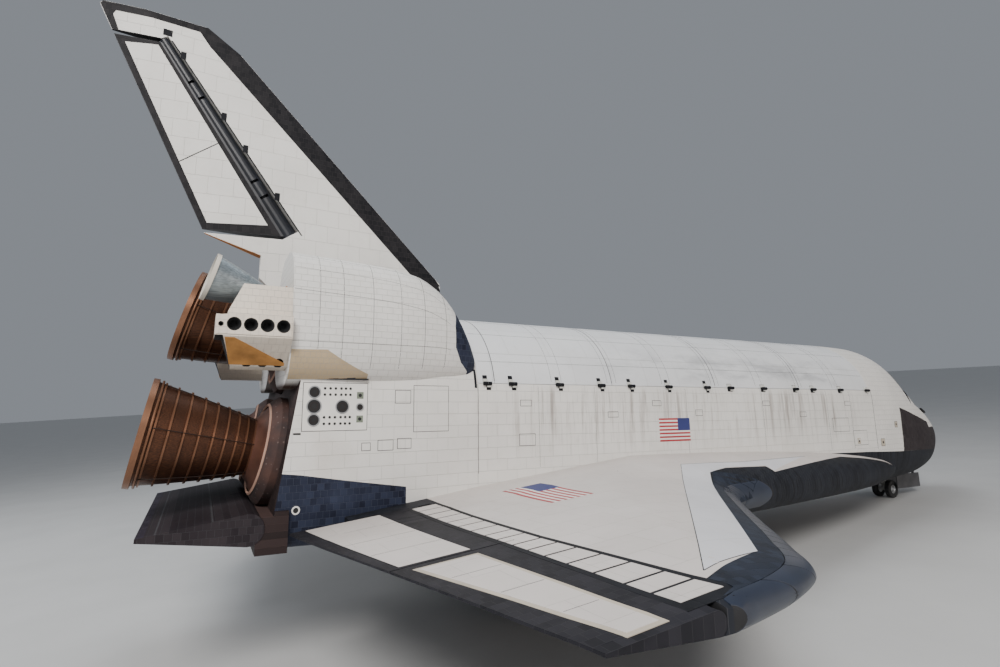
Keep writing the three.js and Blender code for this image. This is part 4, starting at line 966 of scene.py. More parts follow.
def two_tone(shell, belly_name, belly_look):
    """Splits a body skin at the line between its dark belly and its pale sides."""
    belly = copy_of(shell, belly_name, belly_look)
    boolean(belly, below_chine("belly_zone"), "INTERSECT")
    cut(shell, below_chine("pale_zone", -SEAM))
    keep(shell, "airframe")
    keep(belly, "airframe")


def mid_skins():
    shell = body_shell("mid_skin", CREW_END_X + 0.1, BAY_X[1] - 0.1, "white")
    cut(shell, box("door_room", (BAY_X[0], 1400), (-140, 140), (SILL_Z, 520)))
    two_tone(shell, "mid_belly_skin", "belly")


def aft_skins():
    shell = body_shell("aft_skin", BAY_X[1] + 0.1, AFT_END_X, "white")
    beyond = [(base_x(520), 520), (base_x(250), 250), (1640, 250), (1640, 520)]
    cut(shell, prism_y("base_room", beyond, (-140, 140)))
    two_tone(shell, "aft_belly_skin", "side_tiles")


def door_skins(side, sign):
    """The outer blankets of one bay door in five segments, with their seams."""
    edges = [BAY_X[0], *DOOR_SEAM_X, BAY_X[1]]
    pieces = []
    for x0, x1 in zip(edges, edges[1:]):
        segment = body_shell("segment", x0 + 0.35, x1 - 0.35, "door_white")
        y = (0.3, 130) if sign > 0 else (-130, -0.3)
        boolean(segment, box("half", (x0 - 1, x1 + 1), y, (SILL_Z + 0.45, 520)), "INTERSECT")
        pieces.append(segment)
    keep_all(f"{side}_door_blankets", pieces, f"{side}_door")
    strips = [(x, 0.45, 0.03) for x in DOOR_SEAM_X]
    strips += [(x + near, 0.12, 0.09) for x in (*DOOR_SEAM_X[:3], 672, 852, 1032, 1204) for near in (-7, 7)]
    outlines = [(rectangle(x - half, x + half, 11, 88), lift, 3) for x, half, lift in strips]
    outlines += [(rectangle(BAY_X[0] + 4, BAY_X[1] - 4, v, v + 0.14), 0.09, 30) for v in (24, 48, 70)]
    seams = [draped("strip", outline, over_surface(sign), "seam", (0, sign, 1), lift=lift, step=step)
             for outline, lift, step in outlines]
    keep_all(f"{side}_door_seams", seams, f"{side}_door")


def hinge_marks(side, sign):
    """Dark tiles and pins where the doors' hinges lie, half of each on the door."""
    fixed, moving = [], []
    for x in MARK_X[1:]:
        low, high = (x - 5, x + 0.5, 409, 415.8), (x - 1, x + 4.5, 416.6, 425)
        if x < 950:
            low, high = (x - 4.5, x + 4.5, 411, 415.8), (x - 4.5, x + 4.5, 416.6, 421.5)
        for outline, half in ((low, fixed), (high, moving)):
            half.append(side_plate("mark", rectangle(*outline), sign, "edge_black", lift=0.25))
    for x in MARK_X:
        for near, far, half in ((-4.7, -0.15, fixed), (0.15, 4.7, moving)):
            ends = [(x + shift, sign * HINGE_Y, SILL_Z) for shift in (near, far)]
            half.append(rod("knuckle", *ends, KNUCKLE, "edge_black", sides=20))
    keep_all(f"{side}_hinge_marks", fixed, "airframe")
    keep_all(f"{side}_door_hinge_marks", moving, f"{side}_door")


PANELS = [
    (1387, 1403, 395, 407), (1344, 1383, 367, 412), (1428, 1436, 351, 357.5), (1405, 1420, 350.5, 359.5),
    (1386, 1400, 351.5, 360.5), (1116, 1131, 378.5, 384.5), (972, 984, 379, 386), (754, 768, 375.5, 382),
    (1236, 1256, 349, 361), (604, 640, 330, 352), (650, 690, 352, 372),
]
VENT_X = (640, 835, 1045, 1240)
# Half width, lowest and highest Z of the lines at these stations
SIDE_LINES = [(CREW_END_X, 0.3, 322, 415), (BAY_X[1], 0.3, 322, 415)]
SIDE_LINES += [(x, 0.1, 325, 414) for x in (640, 700, 850, 1000, 1150, 1230)]


def side_panels(side, sign):
    """Access panels, vent doors and lines on the body's side."""
    outlines = PANELS + [(x, x + 14, 392, 398) for x in VENT_X]
    pieces = [outlined_panel("panel", rectangle(*outline), sign, "white") for outline in outlines]
    pieces += [side_plate("line", rectangle(x - half, x + half, z0, z1), sign, "seam", lift=0.1)
               for x, half, z0, z1 in SIDE_LINES]
    keep_all(f"{side}_side_panels", pieces, "airframe")


UMBILICAL = {"x": (1432, 1492), "z": (370, 413)}
SOCKETS = [(1482, 404.7, 4.9), (1482, 391.9, 6), (1482, 379.6, 4.9), (1455.9, 391.5, 5.7), (1439, 391, 3)]
SMALL_SOCKET_X = (1472.6, 1467.5, 1462.6, 1457.3, 1453, 1448.6)
SMALL_SOCKET_Z = (408.2, 402.5, 381.9, 376.1)
DRAIN = (1494, 303)


def umbilical_plate(side, sign):
    """The pale plate on the aft body with its round sockets, and the marks near it."""
    pale = [outlined_panel("plate", rectangle(*UMBILICAL["x"], *UMBILICAL["z"]), sign, "flag_white")]
    dark = []
    for x, z, radius in SOCKETS:
        pale.append(ring_on_side("rim", x, z, radius + 0.9, 1.1, sign, "hub", lift=0.6))
        dark.append(disc_on_side("socket", x, z, radius, sign, "port_dark", lift=0.42))
        dark.append(ring_on_side("inner_rim", x, z, radius * 0.6, 0.5, sign, "gear_box", lift=0.55))
    for x in SMALL_SOCKET_X:
        for z in SMALL_SOCKET_Z:
            dark.append(disc_on_side("small_socket", x, z, 1.2, sign, "port_dark", lift=0.42, steps=14))
    for z in (380, 402):
        square = rectangle(1435.8, 1442.2, z - 3.2, z + 3.2)
        dark.append(side_plate("square", square, sign, "structure", lift=0.42))
        dark.append(disc_on_side("square_hole", 1439, z, 1.6, sign, "port_dark", lift=0.5, steps=20))
    dark.append(side_plate("slot", rectangle(1492.8, 1499.4, 366.8, 368.4), sign, "port_dark", lift=0.25))
    pale.append(ring_on_side("drain_rim", *DRAIN, 3.6, 1.3, sign, "flag_white", lift=0.5))
    dark.append(disc_on_side("drain", *DRAIN, 2.6, sign, "port_dark", lift=0.4, steps=24))
    dark.append(side_plate("pod_strip", rectangle(1308.2, 1311, 411, 431), sign, "edge_black", lift=0.25))
    keep_all(f"{side}_umbilical_plate", pale, "airframe")
    keep_all(f"{side}_umbilical_sockets", dark, "airframe")


def nose_details(side, sign):
    """Small pale squares near the nose; the foremost is on the starboard side alone."""
    pieces = []
    for x, z, size in ((509, 360, 4.5), (628, 336, 4.5), (560, 332, 5.5))[0 if sign > 0 else 1:]:
        outline = rectangle(x - size, x + size, z - size, z + size)
        pieces.append(outlined_panel("square", outline, sign, "beige"))
        pieces.append(disc_on_side("dot", x, z, size * 0.4, sign, "port_dark"))
    keep_all(f"{side}_nose_squares", pieces, "airframe")


# Flags with plain cantons

FLAG_STRIPES = 13


def striped_flag(name, x, v, surface, toward, turned=False):
    """Stripes and a canton between two corners of a surface; turned lays the stripes along v."""

    def patch(u0, u1, w0, w1, look, lift):
        corners = []
        for u, w in rectangle(u0, u1, w0, w1):
            a, b = (w, u) if turned else (u, w)
            corners.append((x[0] + (x[1] - x[0]) * a, v[0] + (v[1] - v[0]) * b))
        return draped("patch", corners, surface, look, toward, lift=lift)

    edges = [i / FLAG_STRIPES for i in range(FLAG_STRIPES + 1)]
    pieces = [patch(0, 1, w0, w1, ("red", "flag_white")[i % 2], 0.26)
              for i, (w0, w1) in enumerate(zip(edges, edges[1:]))]
    pieces.append(patch(0, 0.4, edges[6], 1, "blue", 0.32))
    keep_all(name, pieces, "airframe")


def flags():
    """The canton leads on both sides of the body, and one flag lies on the starboard wing."""
    for side, sign in SIDES:
        striped_flag(f"{side}_side_flag", SIDE_FLAG["x"], SIDE_FLAG["z"], side_surface(sign), (0, sign, 0))
    striped_flag("wing_flag", WING_FLAG["x"], WING_FLAG["y"], wing_surface(1), (0, 0, 1), turned=True)


# Wings and elevons

LADDER_FRONT = [(1368, 141), (1370, 318), (1363, 463)]
LADDER_BACK = [(1399.5, 141), (1398, 318), (1397, 463)]
GLOVE_EDGE = [(545, 104), (701, 114.7), (776, 131), (915, 160), (924, 154), (1008, 164), (1050, 175), (1304, 423),
              (1363.4, 443)]
PALE_PATCH = [(796, 122.8), (915, 159), (924, 153), (1008, 163), (1048, 175), (1302, 423), (1356, 435),
              (1074, 157.8), (963, 148.6)]
WELL_X = (1046, 1196)
WELL_Y = (112, 166)


ladder_front, ladder_back = across(LADDER_FRONT), across(LADDER_BACK)


def wing_plate(name, outline, sign, look, **sizes):
    return draped(name, outline, wing_surface(sign), look, (0, 0, 1), **sizes)


def elevon_room(sign):
    """The space that the elevons turn in, cut out of the wing."""
    pieces = []
    for elevon in ELEVONS:
        (y0, y1), (r0, r1), (z0, z1), grow = (elevon[key] for key in ("y", "radii", "hinge_z", "room"))
        rings, lips = [], []
        for y in (y0 + grow[0], y1 + grow[1]):
            share = (y - y0) / (y1 - y0)
            r, z = r0 + (r1 - r0) * share + 0.25, z0 + (z1 - z0) * share
            rings.append([(HINGE_X + a, sign * y, z + b) for a, b in circle(64, r)])
            top, low = -r * math.sin(math.radians(42)) - 1.6, -r * math.sin(math.radians(28)) - 0.4
            lips.append([(HINGE_X + dx, sign * y, z + dz) for dx, dz in
                         ((low, -60), (150, -60), (150, 60), (top, 60), (top, 0), (low, 0))])
        pieces += [loft("cone_room", rings, "seam"), loft("lip_room", lips, "seam")]
    return pieces


def wing_ring(y, sign, start=None):
    """One chord of the wing, upper face first, from its trailing edge round."""
    le_x, te_x = start or wing_curves[0](y), 1450.0
    places = [le_x + (te_x - le_x) * (i / 44) ** 1.8 for i in range(45)]
    upper = [(x, sign * y, wing_z(x, y)) for x in reversed(places)]
    return upper + [(x, sign * y, wing_z(x, y, False)) for x in places[1:]]


def wing_body(side, sign):
    """The wing itself, with its smooth skin, the wheel well and the elevons' space."""
    rows = sorted({row[0] for row in WING_SECTIONS[1:]} | {172.2})
    ys = []
    for a, b in zip(rows, rows[1:]):
        count = max(1, round((b - a) / 8))
        ys += [a + (b - a) * i / count for i in range(count)]
    inner = [97] + [y for y in ys if 97 < y < 172.3]
    outer = [172.25] + [y for y in ys if y > 172.3] + [WING_TIP_Y]
    glove = loft("glove", [wing_ring(y, sign) for y in inner], "belly")
    panel = loft("panel", [wing_ring(y, sign, edge_back(y) + 0.1) for y in outer], "belly")
    y_well = sorted(sign * y for y in WELL_Y)
    for room in (box("well_room", WELL_X, y_well, (200, 302)), *elevon_room(sign)):
        cut(glove, copy_of(room, "room_copy", "seam"))
        cut(panel, room)
    keep_all(f"{side}_wing_body", [glove, panel], "airframe", (f"{side}_wing",))


def wing_skins(side, sign):
    wing_body(side, sign)
    front = [(ladder_front(y), y) for y in (390, 318, 230, 141)]
    root = [(x, 99) for x in (1368, 1100, 800, 600)]
    for name, outline, look, lift in (("wing_top_skin", GLOVE_EDGE + front + root, "wing_white", 0.14),
                                      ("wing_pale_patch", PALE_PATCH, "patch_white", 0.2)):
        keep(wing_plate(f"{side}_{name}", outline, sign, look, lift=lift, step=4), "airframe")
    bounds = PALE_PATCH[5:] + PALE_PATCH[:1]
    border = [stripe_on_wing(a, b, 0.25, sign, 0.24) for a, b in zip(bounds, bounds[1:])]
    keep_all(f"{side}_patch_lines", border, "airframe")
    ladder(side, sign)


def stripe_on_wing(start, end, half, sign, lift):
    """A narrow dark plate along a line between two places on the wing."""
    a, b = Vector((*start, 0)), Vector((*end, 0))
    side = Vector((0, 0, 1)).cross((b - a).normalized()) * half
    outline = [tuple((p + s * side)[:2]) for p, s in ((a, 1), (b, 1), (b, -1), (a, -1))]
    return wing_plate("stripe", outline, sign, "seam", lift=lift, step=6)


LADDER_Y = (141, 463)
LADDER_EDGES = [143, 161, 181, 201, 222, 243, 264, 285, 302, 322, 339, 357, 378, 400, 422, 439, 456]
LADDER_BAR = 4.2


def ladder_part(name, body, sign, y_range, x_range):
    """The dark bars and pale cells of one stretch of the ladder, on one body."""
    low, high = y_range

    def band(ys, inset):
        front = [(max(ladder_front(y) + inset, x_range[0]), y) for y in ys]
        return front + [(min(ladder_back(y) - inset, x_range[1]), y) for y in reversed(ys)]

    ys = [low] + [y for y in (230, 318, 390) if low < y < high] + [high]
    keep(wing_plate(name + "_bars", band(ys, 0), sign, "edge_black", step=10), body)
    cells = []
    for y0, y1 in zip(LADDER_EDGES, LADDER_EDGES[1:]):
        y0, y1 = max(y0 + 1.6, low), min(y1 - 0.6, high)
        if y1 - y0 > 5:
            outline = band([y0, y1], LADDER_BAR)
            cells.append(wing_plate("cell", outline, sign, "wing_white", lift=0.3, step=9))
    keep_all(name + "_cells", cells, body)


def ladder(side, sign):
    """Pale tiles between dark bars; what lies aft of the hinge line turns with the elevons."""
    ladder_part(f"{side}_ladder", "airframe", sign, LADDER_Y, (0, HINGE_X - 0.1))
    for elevon in ELEVONS:
        low, high = elevon["y"]
        y_range = (max(low, LADDER_Y[0]), min(high, LADDER_Y[1]))
        name = f"{side}_{elevon['name']}_ladder"
        ladder_part(name, f"{side}_{elevon['body']}", sign, y_range, (HINGE_X + 0.1, 2000))


# Hinge radii and heights at both ends, and how far the room in the wing reaches beyond them
ELEVONS = (
    {"name": "inboard", "body": "inner_elevon", "y": (138, 311.8), "border": ("seam", 0.7),
     "radii": (15.6, 11.2), "hinge_z": (282.6, 295.2), "room": (-1, 2),
     "white": [(1424, 140), (1416, 309.5), (1464, 309.5), (1489, 140)]},
    {"name": "outboard", "body": "outer_elevon", "y": (313.2, 468.3), "border": ("beige", 2.6),
     "radii": (11.1, 5.0), "hinge_z": (295.3, 308.0), "room": (-2, 8),
     "white": [(1417, 320), (1408, 464), (1429, 464), (1459, 320)]},
)


def elevon_plates(side, sign):
    for elevon in ELEVONS:
        body, name = f"{side}_{elevon['body']}", f"{side}_{elevon['name']}_elevon"
        look, margin = elevon["border"]
        inner = shrunk(elevon["white"], margin)
        border = wing_plate(name + "_border", elevon["white"], sign, look, lift=0.16, step=12)
        keep(border, body)
        keep(wing_plate(name + "_white", inner, sign, "wing_white", lift=0.3, step=12), body)
        front, back = across(inner[:2]), across(inner[:1:-1])
        low, high = elevon["y"]
        ys = [low + (high - low) * share for share in (0.25, 0.5, 0.75)]
        lines = [stripe_on_wing((front(y) + 1, y), (back(y) - 1, y), 0.15, sign, 0.34) for y in ys]
        keep_all(name + "_lines", lines, body)


def shrunk(outline, margin):
    """The outline of a convex region moved in by a margin on every side."""
    count = len(outline)
    area = sum(a[0] * b[1] - b[0] * a[1] for a, b in zip(outline, outline[1:] + outline[:1]))
    turn = 1 if area > 0 else -1
    lines = []
    for a, b in zip(outline, outline[1:] + outline[:1]):
        direction = (Vector(b) - Vector(a)).normalized()
        inward = Vector((-direction.y, direction.x)) * turn
        lines.append((Vector(a) + inward * margin, direction))
    points = []
    for i in range(count):
        (p, d), (q, e) = lines[i - 1], lines[i]
        share = ((q - p).x * e.y - (q - p).y * e.x) / (d.x * e.y - d.y * e.x)
        points.append(tuple(p + d * share))
    return points


EDGE_PANELS = 22
EDGE_GAP = 0.5


def edge_ring(y, sign, swell):
    """Upper then lower face of the leading edge at one span station, from its rear edge round."""
    le_x = wing_curves[0](y)
    depth = edge_back(y) - le_x - 0.3
    steps = 16
    points = []
    for upper, order in ((True, range(steps, -1, -1)), (False, range(1, steps + 1))):
        for i in order:
            x = le_x + depth * (i / steps) ** 2
            out = swell * min(1, (i / steps) * 3)
            points.append((x, sign * y, wing_z(x, y, upper) + (out if upper else -out)))
    points[steps] = (le_x - swell, sign * y, wing_z(le_x, y))
    return points


def leading_edge(side, sign):
    """Carbon panels with dark seals between them, over one leading edge."""
    y0, y1 = 172.5, WING_TIP_Y - 1.2
    joints = [y0 + (y1 - y0) * i / EDGE_PANELS for i in range(EDGE_PANELS + 1)]
    panels = []
    for a, b in zip(joints, joints[1:]):
        a, b = a + EDGE_GAP / 2, b - EDGE_GAP / 2
        rings = [edge_ring(a + (b - a) * k / 4, sign, 0.12) for k in range(5)]
        panels.append(loft("edge_panel", rings, "edge_carbon"))
    seals = [loft("edge_seal", [edge_ring(y + d, sign, -0.25) for d in (-0.6, 0.6)], "seam")
             for y in joints]
    keep_all(f"{side}_edge_panels", panels, "airframe", (f"{side}_leading_edge",))
    keep_all(f"{side}_edge_seals", seals, "airframe")
    ys = [172.5, 215, 260, 312.5, 360, 400, 423, 436, 444, 452, 457, 462]
    inner = across(GLOVE_EDGE[4:])
    outline = [(edge_back(y) + 0.2, y) for y in ys]
    outline += [(max(inner(y), edge_back(y) + 2), y) for y in reversed(ys)]
    keep(wing_plate(f"{side}_edge_tiles", outline, sign, "edge_tiles", step=4), "airframe")


# Fin and rudder

FIN_ROOT_Z = 503


def fin_line(at_root, slope):
    return lambda z: at_root + slope * (z - FIN_ROOT_Z)


fin_le, fin_te = fin_line(1266, 1.015), fin_line(1549.38, 0.4931)
fin_hinge, fin_half = fin_line(1441.98, 0.696), fin_line(13.887, -0.0262)


def fin_y(x, z):
    le, hinge, te, half = fin_le(z), fin_hinge(z), fin_te(z), fin_half(z)
    nose = le + (hinge - le) * 0.03
    return linear([le, nose, hinge, te], [0.6, half * 0.16, half, 0.9])(x)


def fin_surface(sign):
    return lambda u, v: (u, sign * fin_y(u, v), v)


def fin_plate(name, outline, sign, look, **sizes):
    return draped(name, outline, fin_surface(sign), look, (0, sign, 0), **sizes)


FIN_BAND = 33  # how far the dark tiles reach aft of the fin's leading edge
FIN_FRONT_X = 1310
FIN_FOOT = ((1527.6, 557.2), (1585, 576.6))
CROWN = ((1562.6, 795.3), (1599.3, 818.72), (1700.6, 818.72), (1703, 815))
PANEL_Z = (580.8, 784)
FIN_GAP_TOP = 788.4
HINGE_BLOCK_Z = (626.8, 677.7, 711.7, 774.5)


def fin_leading_tiles():
    """Dark tiles wrapped round the fin's leading edge."""
    rings = []
    low, high = 516, CROWN[0][1]
    for i in range(41):
        z = low + (high - low) * i / 40
        le = fin_le(z)
        kink = (fin_hinge(z) - le) * 0.03
        xs = [max(le + back, FIN_FRONT_X + 0.01 * back) for back in (FIN_BAND, kink, 1.4, 0.3)]
        right = [(x, fin_y(x, z) + 0.14, z) for x in xs]
        left = [(x, -y, z) for x, y, z in reversed(right)]
        rings.append(right + [(max(le - 0.35, FIN_FRONT_X - 0.3), 0, z)] + left)
    keep(loft("fin_leading_tiles", rings, "fin_tiles"), "airframe")


def fin_strip(name, places, grow, rise, look):
    """A strip across the fin's thickness, along a line in X and Z."""
    rings = [slanted(x, fin_y(x, z) + grow, (z + rise[0], z + rise[1])) for x, z in places]
    keep(loft(name, rings, look), "airframe")


def fin_edges():
    """The dark strip over the fin's tip, the orange face under its foot and the gap's lining, a dark strip of
    painted shade.
    """
    fin_strip("fin_crown_strip", CROWN, 0.15, (-0.6, 0.15), "fin_tiles")
    fin_strip("fin_foot_blanket", FIN_FOOT, -0.1, (-0.4, 0.3), "rust")
    # A dark strip across the ceiling of the gap over the rudder panels: painted shade in the gap
    low = FIN_GAP_TOP
    lining = [(fin_hinge(low) + 3, low), (fin_te(low) - 0.4, low)]
    fin_strip("fin_gap_painted_shade", lining, 0.1, (-0.2, 0.5), "fin_tiles")


def fin_pieces():
    fin_leading_tiles()
    fin_edges()
    low, high, te_low = CROWN[0][1], CROWN[1][1] - 0.3, 789.0
    rim = [
        (CROWN[0][0], low), (CROWN[1][0], high), (CROWN[2][0], high), (CROWN[3][0] - 0.2, CROWN[3][1]),
        (fin_te(te_low) - 0.2, te_low), (fin_te(te_low) - 6.5, te_low), (1690.5, 806), (1688, 810.5),
        (1607, 810.5), (fin_le(low) + FIN_BAND, low),
    ]
    edge = [(fin_hinge(z) - fin_half(z) - 0.4, z) for z in (584, 650, 720, 789)]
    strip = edge + [(x - 1.8, z) for x, z in reversed(edge)]
    marks = [(fin_hinge(z) - fin_half(z) - 3.6, z) for z in HINGE_BLOCK_Z]
    blocks = [(rectangle(x - 2.4, x + 3, z - 4.5, z + 4.5), 0.3) for x, z in marks]
    blocks.append((rectangle(1633.5, 1642.5, 793.5, 801.5), 0.22))
    for side, sign in SIDES:
        for name, outline, look, lift, step in (("top_tiles", rim, "fin_tiles", 0.26, 3),
                                                ("hinge_strip", strip, "edge_black", 0.14, 8)):
            plate = fin_plate(f"{side}_fin_{name}", outline, sign, look, lift=lift, step=step)
            keep(plate, "airframe")
        plates = [fin_plate("block", outline, sign, "edge_black", lift=lift) for outline, lift in blocks]
        keep_all(f"{side}_fin_hinge_blocks", plates, "airframe")
        rudder_plates(side, sign)


def rudder_plates(side, sign):
    """The white middle of a rudder panel, its dark border and the line across it."""
    z0, z1 = PANEL_Z[0] + 0.2, PANEL_Z[1] - 0.2
    whole = [(fin_hinge(z) + 0.95 * fin_half(z) + 0.6, z) for z in (z0, 650, 720, z1)]
    whole += [(fin_te(z) - 0.3, z) for z in (z1, 700, z0)]
    white = [(fin_hinge(z) + 1.62 * fin_half(z), z) for z in (591.5, 650, 720, 780.5)]
    white += [(fin_te(z) - 7.6, z) for z in (777, 700, 588)]
    split = [(1577.6, 680.5), (1617.2, 651.7), (1616.6, 650.8), (1577, 679.6)]
    for name, outline, look, lift, step, slot in (
            ("border", whole, "fin_tiles", 0.1, 14, "black_tile"),
            ("white", white, "fin_white", 0.24, 14, "white_tile"),
            ("split", split, "seam", 0.3, 8, "black_tile")):
        plate = fin_plate(f"{side}_rudder_{name}", outline, sign, look, lift=lift, step=step)
        keep(plate, f"{side}_brake")


# Orbital pods

POD_SECTIONS = [
    (1311, 88, 103, 447, 428, 2),
    (1318, 72, 109, 466, 422, 2.1),
    (1332, 56, 116, 493, 417, 2.2),
    (1352, 42, 122, 517, 413, 2.3),
    (1380, 32, 128, 531, 409, 2.5),
    (1420, 27, 133, 536, 408, 2.7),
    (1508, 26, 139, 539, 408, 2.9),
]
pod_curves = [monotone([row[0] for row in POD_SECTIONS], [row[i] for row in POD_SECTIONS]) for i in range(1, 6)]
OMS_GIMBAL = (1518, 88, 492)
OMS_UP = math.radians(15.8)
OMS_OUT = math.radians(6.5)


def pod_point(x, angle, sign, grow=0.0):
    inner, outer, top, bottom, power = (curve(x) for curve in pod_curves)
    squared_y = math.copysign(abs(math.cos(angle)) ** (2 / power), math.cos(angle))
    squared_z = math.copysign(abs(math.sin(angle)) ** (2 / power), math.sin(angle))
    y = (inner + outer) / 2 + ((outer - inner) / 2 + grow) * squared_y
    return (x, sign * y, (top + bottom) / 2 + ((top - bottom) / 2 + grow) * squared_z)


def pod_surface(sign):
    """u is X and v the angle round the pod in degrees, from its outer side up."""
    return lambda u, v: pod_point(u, math.radians(v), sign)


def pod_angle(x, z):
    """The angle round the pod, in degrees, of a height on its lower outer side."""
    _, _, top, bottom, power = (curve(x) for curve in pod_curves)
    share = min(((top + bottom) / 2 - z) / ((top - bottom) / 2), 1)
    return -math.degrees(math.asin(share ** (power / 2)))


def pod_stations(x0, x1):
    xs = [1311 + (i / 24) ** 1.6 * 197 for i in range(25)]
    return [x0] + [x for x in xs if x0 + 0.5 < x < x1 - 0.5] + [x1]


def pod(side, sign):
    steps = 72
    rings = [[pod_point(x, 2 * math.pi * i / steps, sign, SKIN_LIFT) for i in range(steps)]
             for x in pod_stations(1311, 1508)]
    shell = loft(f"{side}_pod_shell", rings, "pod_white")
    keep(shell, "airframe", (f"{side}_orbital_pod",), angle=40)
    front = [[pod_point(x, 2 * math.pi * i / steps, sign, 0.28) for i in range(steps)]
             for x in pod_stations(1310.8, 1342)]
    patch = loft("patch", front, "side_tiles")
    zone = prism_y("patch_zone", [(1300, 400), (1321, 400), (1321, 428), (1332, 437), (1340, 452), (1340, 475),
                                  (1333, 500), (1300, 500)], (-160, 160))
    boolean(patch, zone, "INTERSECT")
    patch.name = f"{side}_pod_front_tiles"
    keep(patch, "airframe")
    pod_lines(side, sign)
    pod_tail(side, sign)


def pod_plate(name, x, v, sign, look, **sizes):
    centre = math.radians((v[0] + v[1]) / 2)
    toward = (0, sign * math.cos(centre), math.sin(centre))
    return draped(name, rectangle(x[0], x[1], v[0], v[1]), pod_surface(sign), look, toward, **sizes)


def pod_lines(side, sign):
    lines = []
    for x in (1352, 1378, 1404, 1433, 1462, 1484):
        lines.append(pod_plate("line", (x - 0.18, x + 0.18), (-38, 100), sign, "seam", lift=0.14, step=4))
    for v in (-14, 12, 34, 58):
        lines.append(pod_plate("line", (1346, 1507), (v, v + 0.25), sign, "seam", lift=0.14, step=6))
    keep(join_all(f"{side}_pod_lines", lines), "airframe")
    outline = [(x, pod_angle(x, z)) for x, z in ((1507, 416), (1433.5, 417.5), (1433.5, 422), (1475, 442.5),
                                                 (1507, 441.5))]
    worn = draped(f"{side}_pod_worn_tiles", outline, pod_surface(sign), "pod_worn", (0, sign, -0.6), lift=0.2,
                  step=5)
    keep(worn, "airframe")
    blocks = []
    for x0, x1 in ((1445, 1453), (1461, 1470), (1478, 1492)):
        blocks.append(box("block", (x0, x1), (sign * 117, sign * 119.6), (416.5, 421)))
    blocks.append(box("strip", (1432, 1500), (sign * 117, sign * 119.2), (416.2, 417.6)))
    keep(join_all(f"{side}_pod_foot_blocks", blocks), "airframe")


HOUSING_X = (1508.1, 1569)
HOUSING = [(108, 424), (122, 426), (149.5, 449), (149.5, 469), (141, 470), (138, 496), (108, 500)]


def pod_tail(side, sign):
    """The thruster housing at the pod's aft end, with its round ports."""
    outline = [(sign * y, z) for y, z in HOUSING]
    rings = [[(x, y, z) for y, z in outline] for x in HOUSING_X]
    block = loft(f"{side}_thruster_block", rings, "housing_white")
    above = [(1545, 505), (1560, 471), (1560, 466.5), (1600, 466.5), (1600, 505)]
    below = [(1600, 449.5), (1563, 449.5), (1553, 420), (1600, 420)]
    for corner in (above, below):
        cut(block, prism_y("corner", corner, (-200, 200)))
    cups = []
    ports = [((x, 149.6, 459), (0, 1, 0), 5.7, 9) for x in (1516, 1529, 1542, 1555)]
    ports += [((x, 128, 501), (0, 0, 1), 4.6, 14) for x in (1516, 1529, 1542)]
    ports += [((x, 126, 429), (0, 0, -1), 4.4, 13.2) for x in (1516, 1529, 1542)]
    ports.append(((1565, 149.6, 458.5), (0, 1, 0), 2.1, 9))
    for at, direction, radius, depth in ports:
        at = Vector((at[0], sign * at[1], at[2]))
        out = Vector((direction[0], sign * direction[1], direction[2]))
        cut(block, rod("room", at - out * depth, at + out * 3, radius, "seam", sides=48))
        cups.append(port_cup(at - out * depth, out, radius))
    bevelled(block, 0.35)
    keep(block, "airframe", (f"{side}_thruster_housing",))
    keep(join_all(f"{side}_thruster_cups", cups), "airframe")
    plate = [(1509.5, 450.5), (1568, 450.5), (1568, 466), (1558, 467.2), (1509.5, 467.2)]
    rings = [[(x, sign * y, z) for x, z in plate] for y in (149.2, 150.1)]
    face = loft(f"{side}_thruster_plate", rings, "housing_white")
    for at, direction, radius, _ in ports:
        if direction[1]:
            cut(face, rod("room", (at[0], sign * 145, at[2]), (at[0], sign * 155, at[2]), radius, "seam", sides=48))
    keep(face, "airframe")
    stain = [(1561.5, 448), (1554, 448), (1511, 429.5), (1511, 427.5), (1556, 427.5)]
    underside = linear([426, 449], [122, 149.5])
    wedge = draped(f"{side}_stained_wedge", stain, lambda u, v: (u, sign * underside(v), v), "stained",
                   (0, sign, -1), lift=0.3, step=20)
    keep(wedge, "airframe")


def port_cup(start, out, radius):
    """A dark nozzle cup whose rim lies just inside its hole."""
    outer, inner = radius - 0.15, radius - 0.75
    profile = [(0.2, 0), (0.2, inner * 0.5), (4, inner * 0.72), (8.6, inner), (8.6, outer), (0, outer), (0, 0)]
    return lathe("cup", profile, "port_dark", frame_at(start, out), 40)


def bevelled(obj, width, segments=2):
    modifier = obj.modifiers.new("edges", "BEVEL")
    modifier.width = width * INCH
    modifier.segments = segments
    modifier.limit_method = "ANGLE"
    modifier.angle_limit = math.radians(35)
    depsgraph = bpy.context.evaluated_depsgraph_get()
    mesh = bpy.data.meshes.new_from_object(obj.evaluated_get(depsgraph))
    obj.modifiers.clear()
    obj.data = mesh


def engine_frame(at, up, out):
    ahead = Vector((math.cos(out) * math.cos(up), math.sin(out) * math.cos(up), math.sin(up)))
    return frame_at(at, ahead)


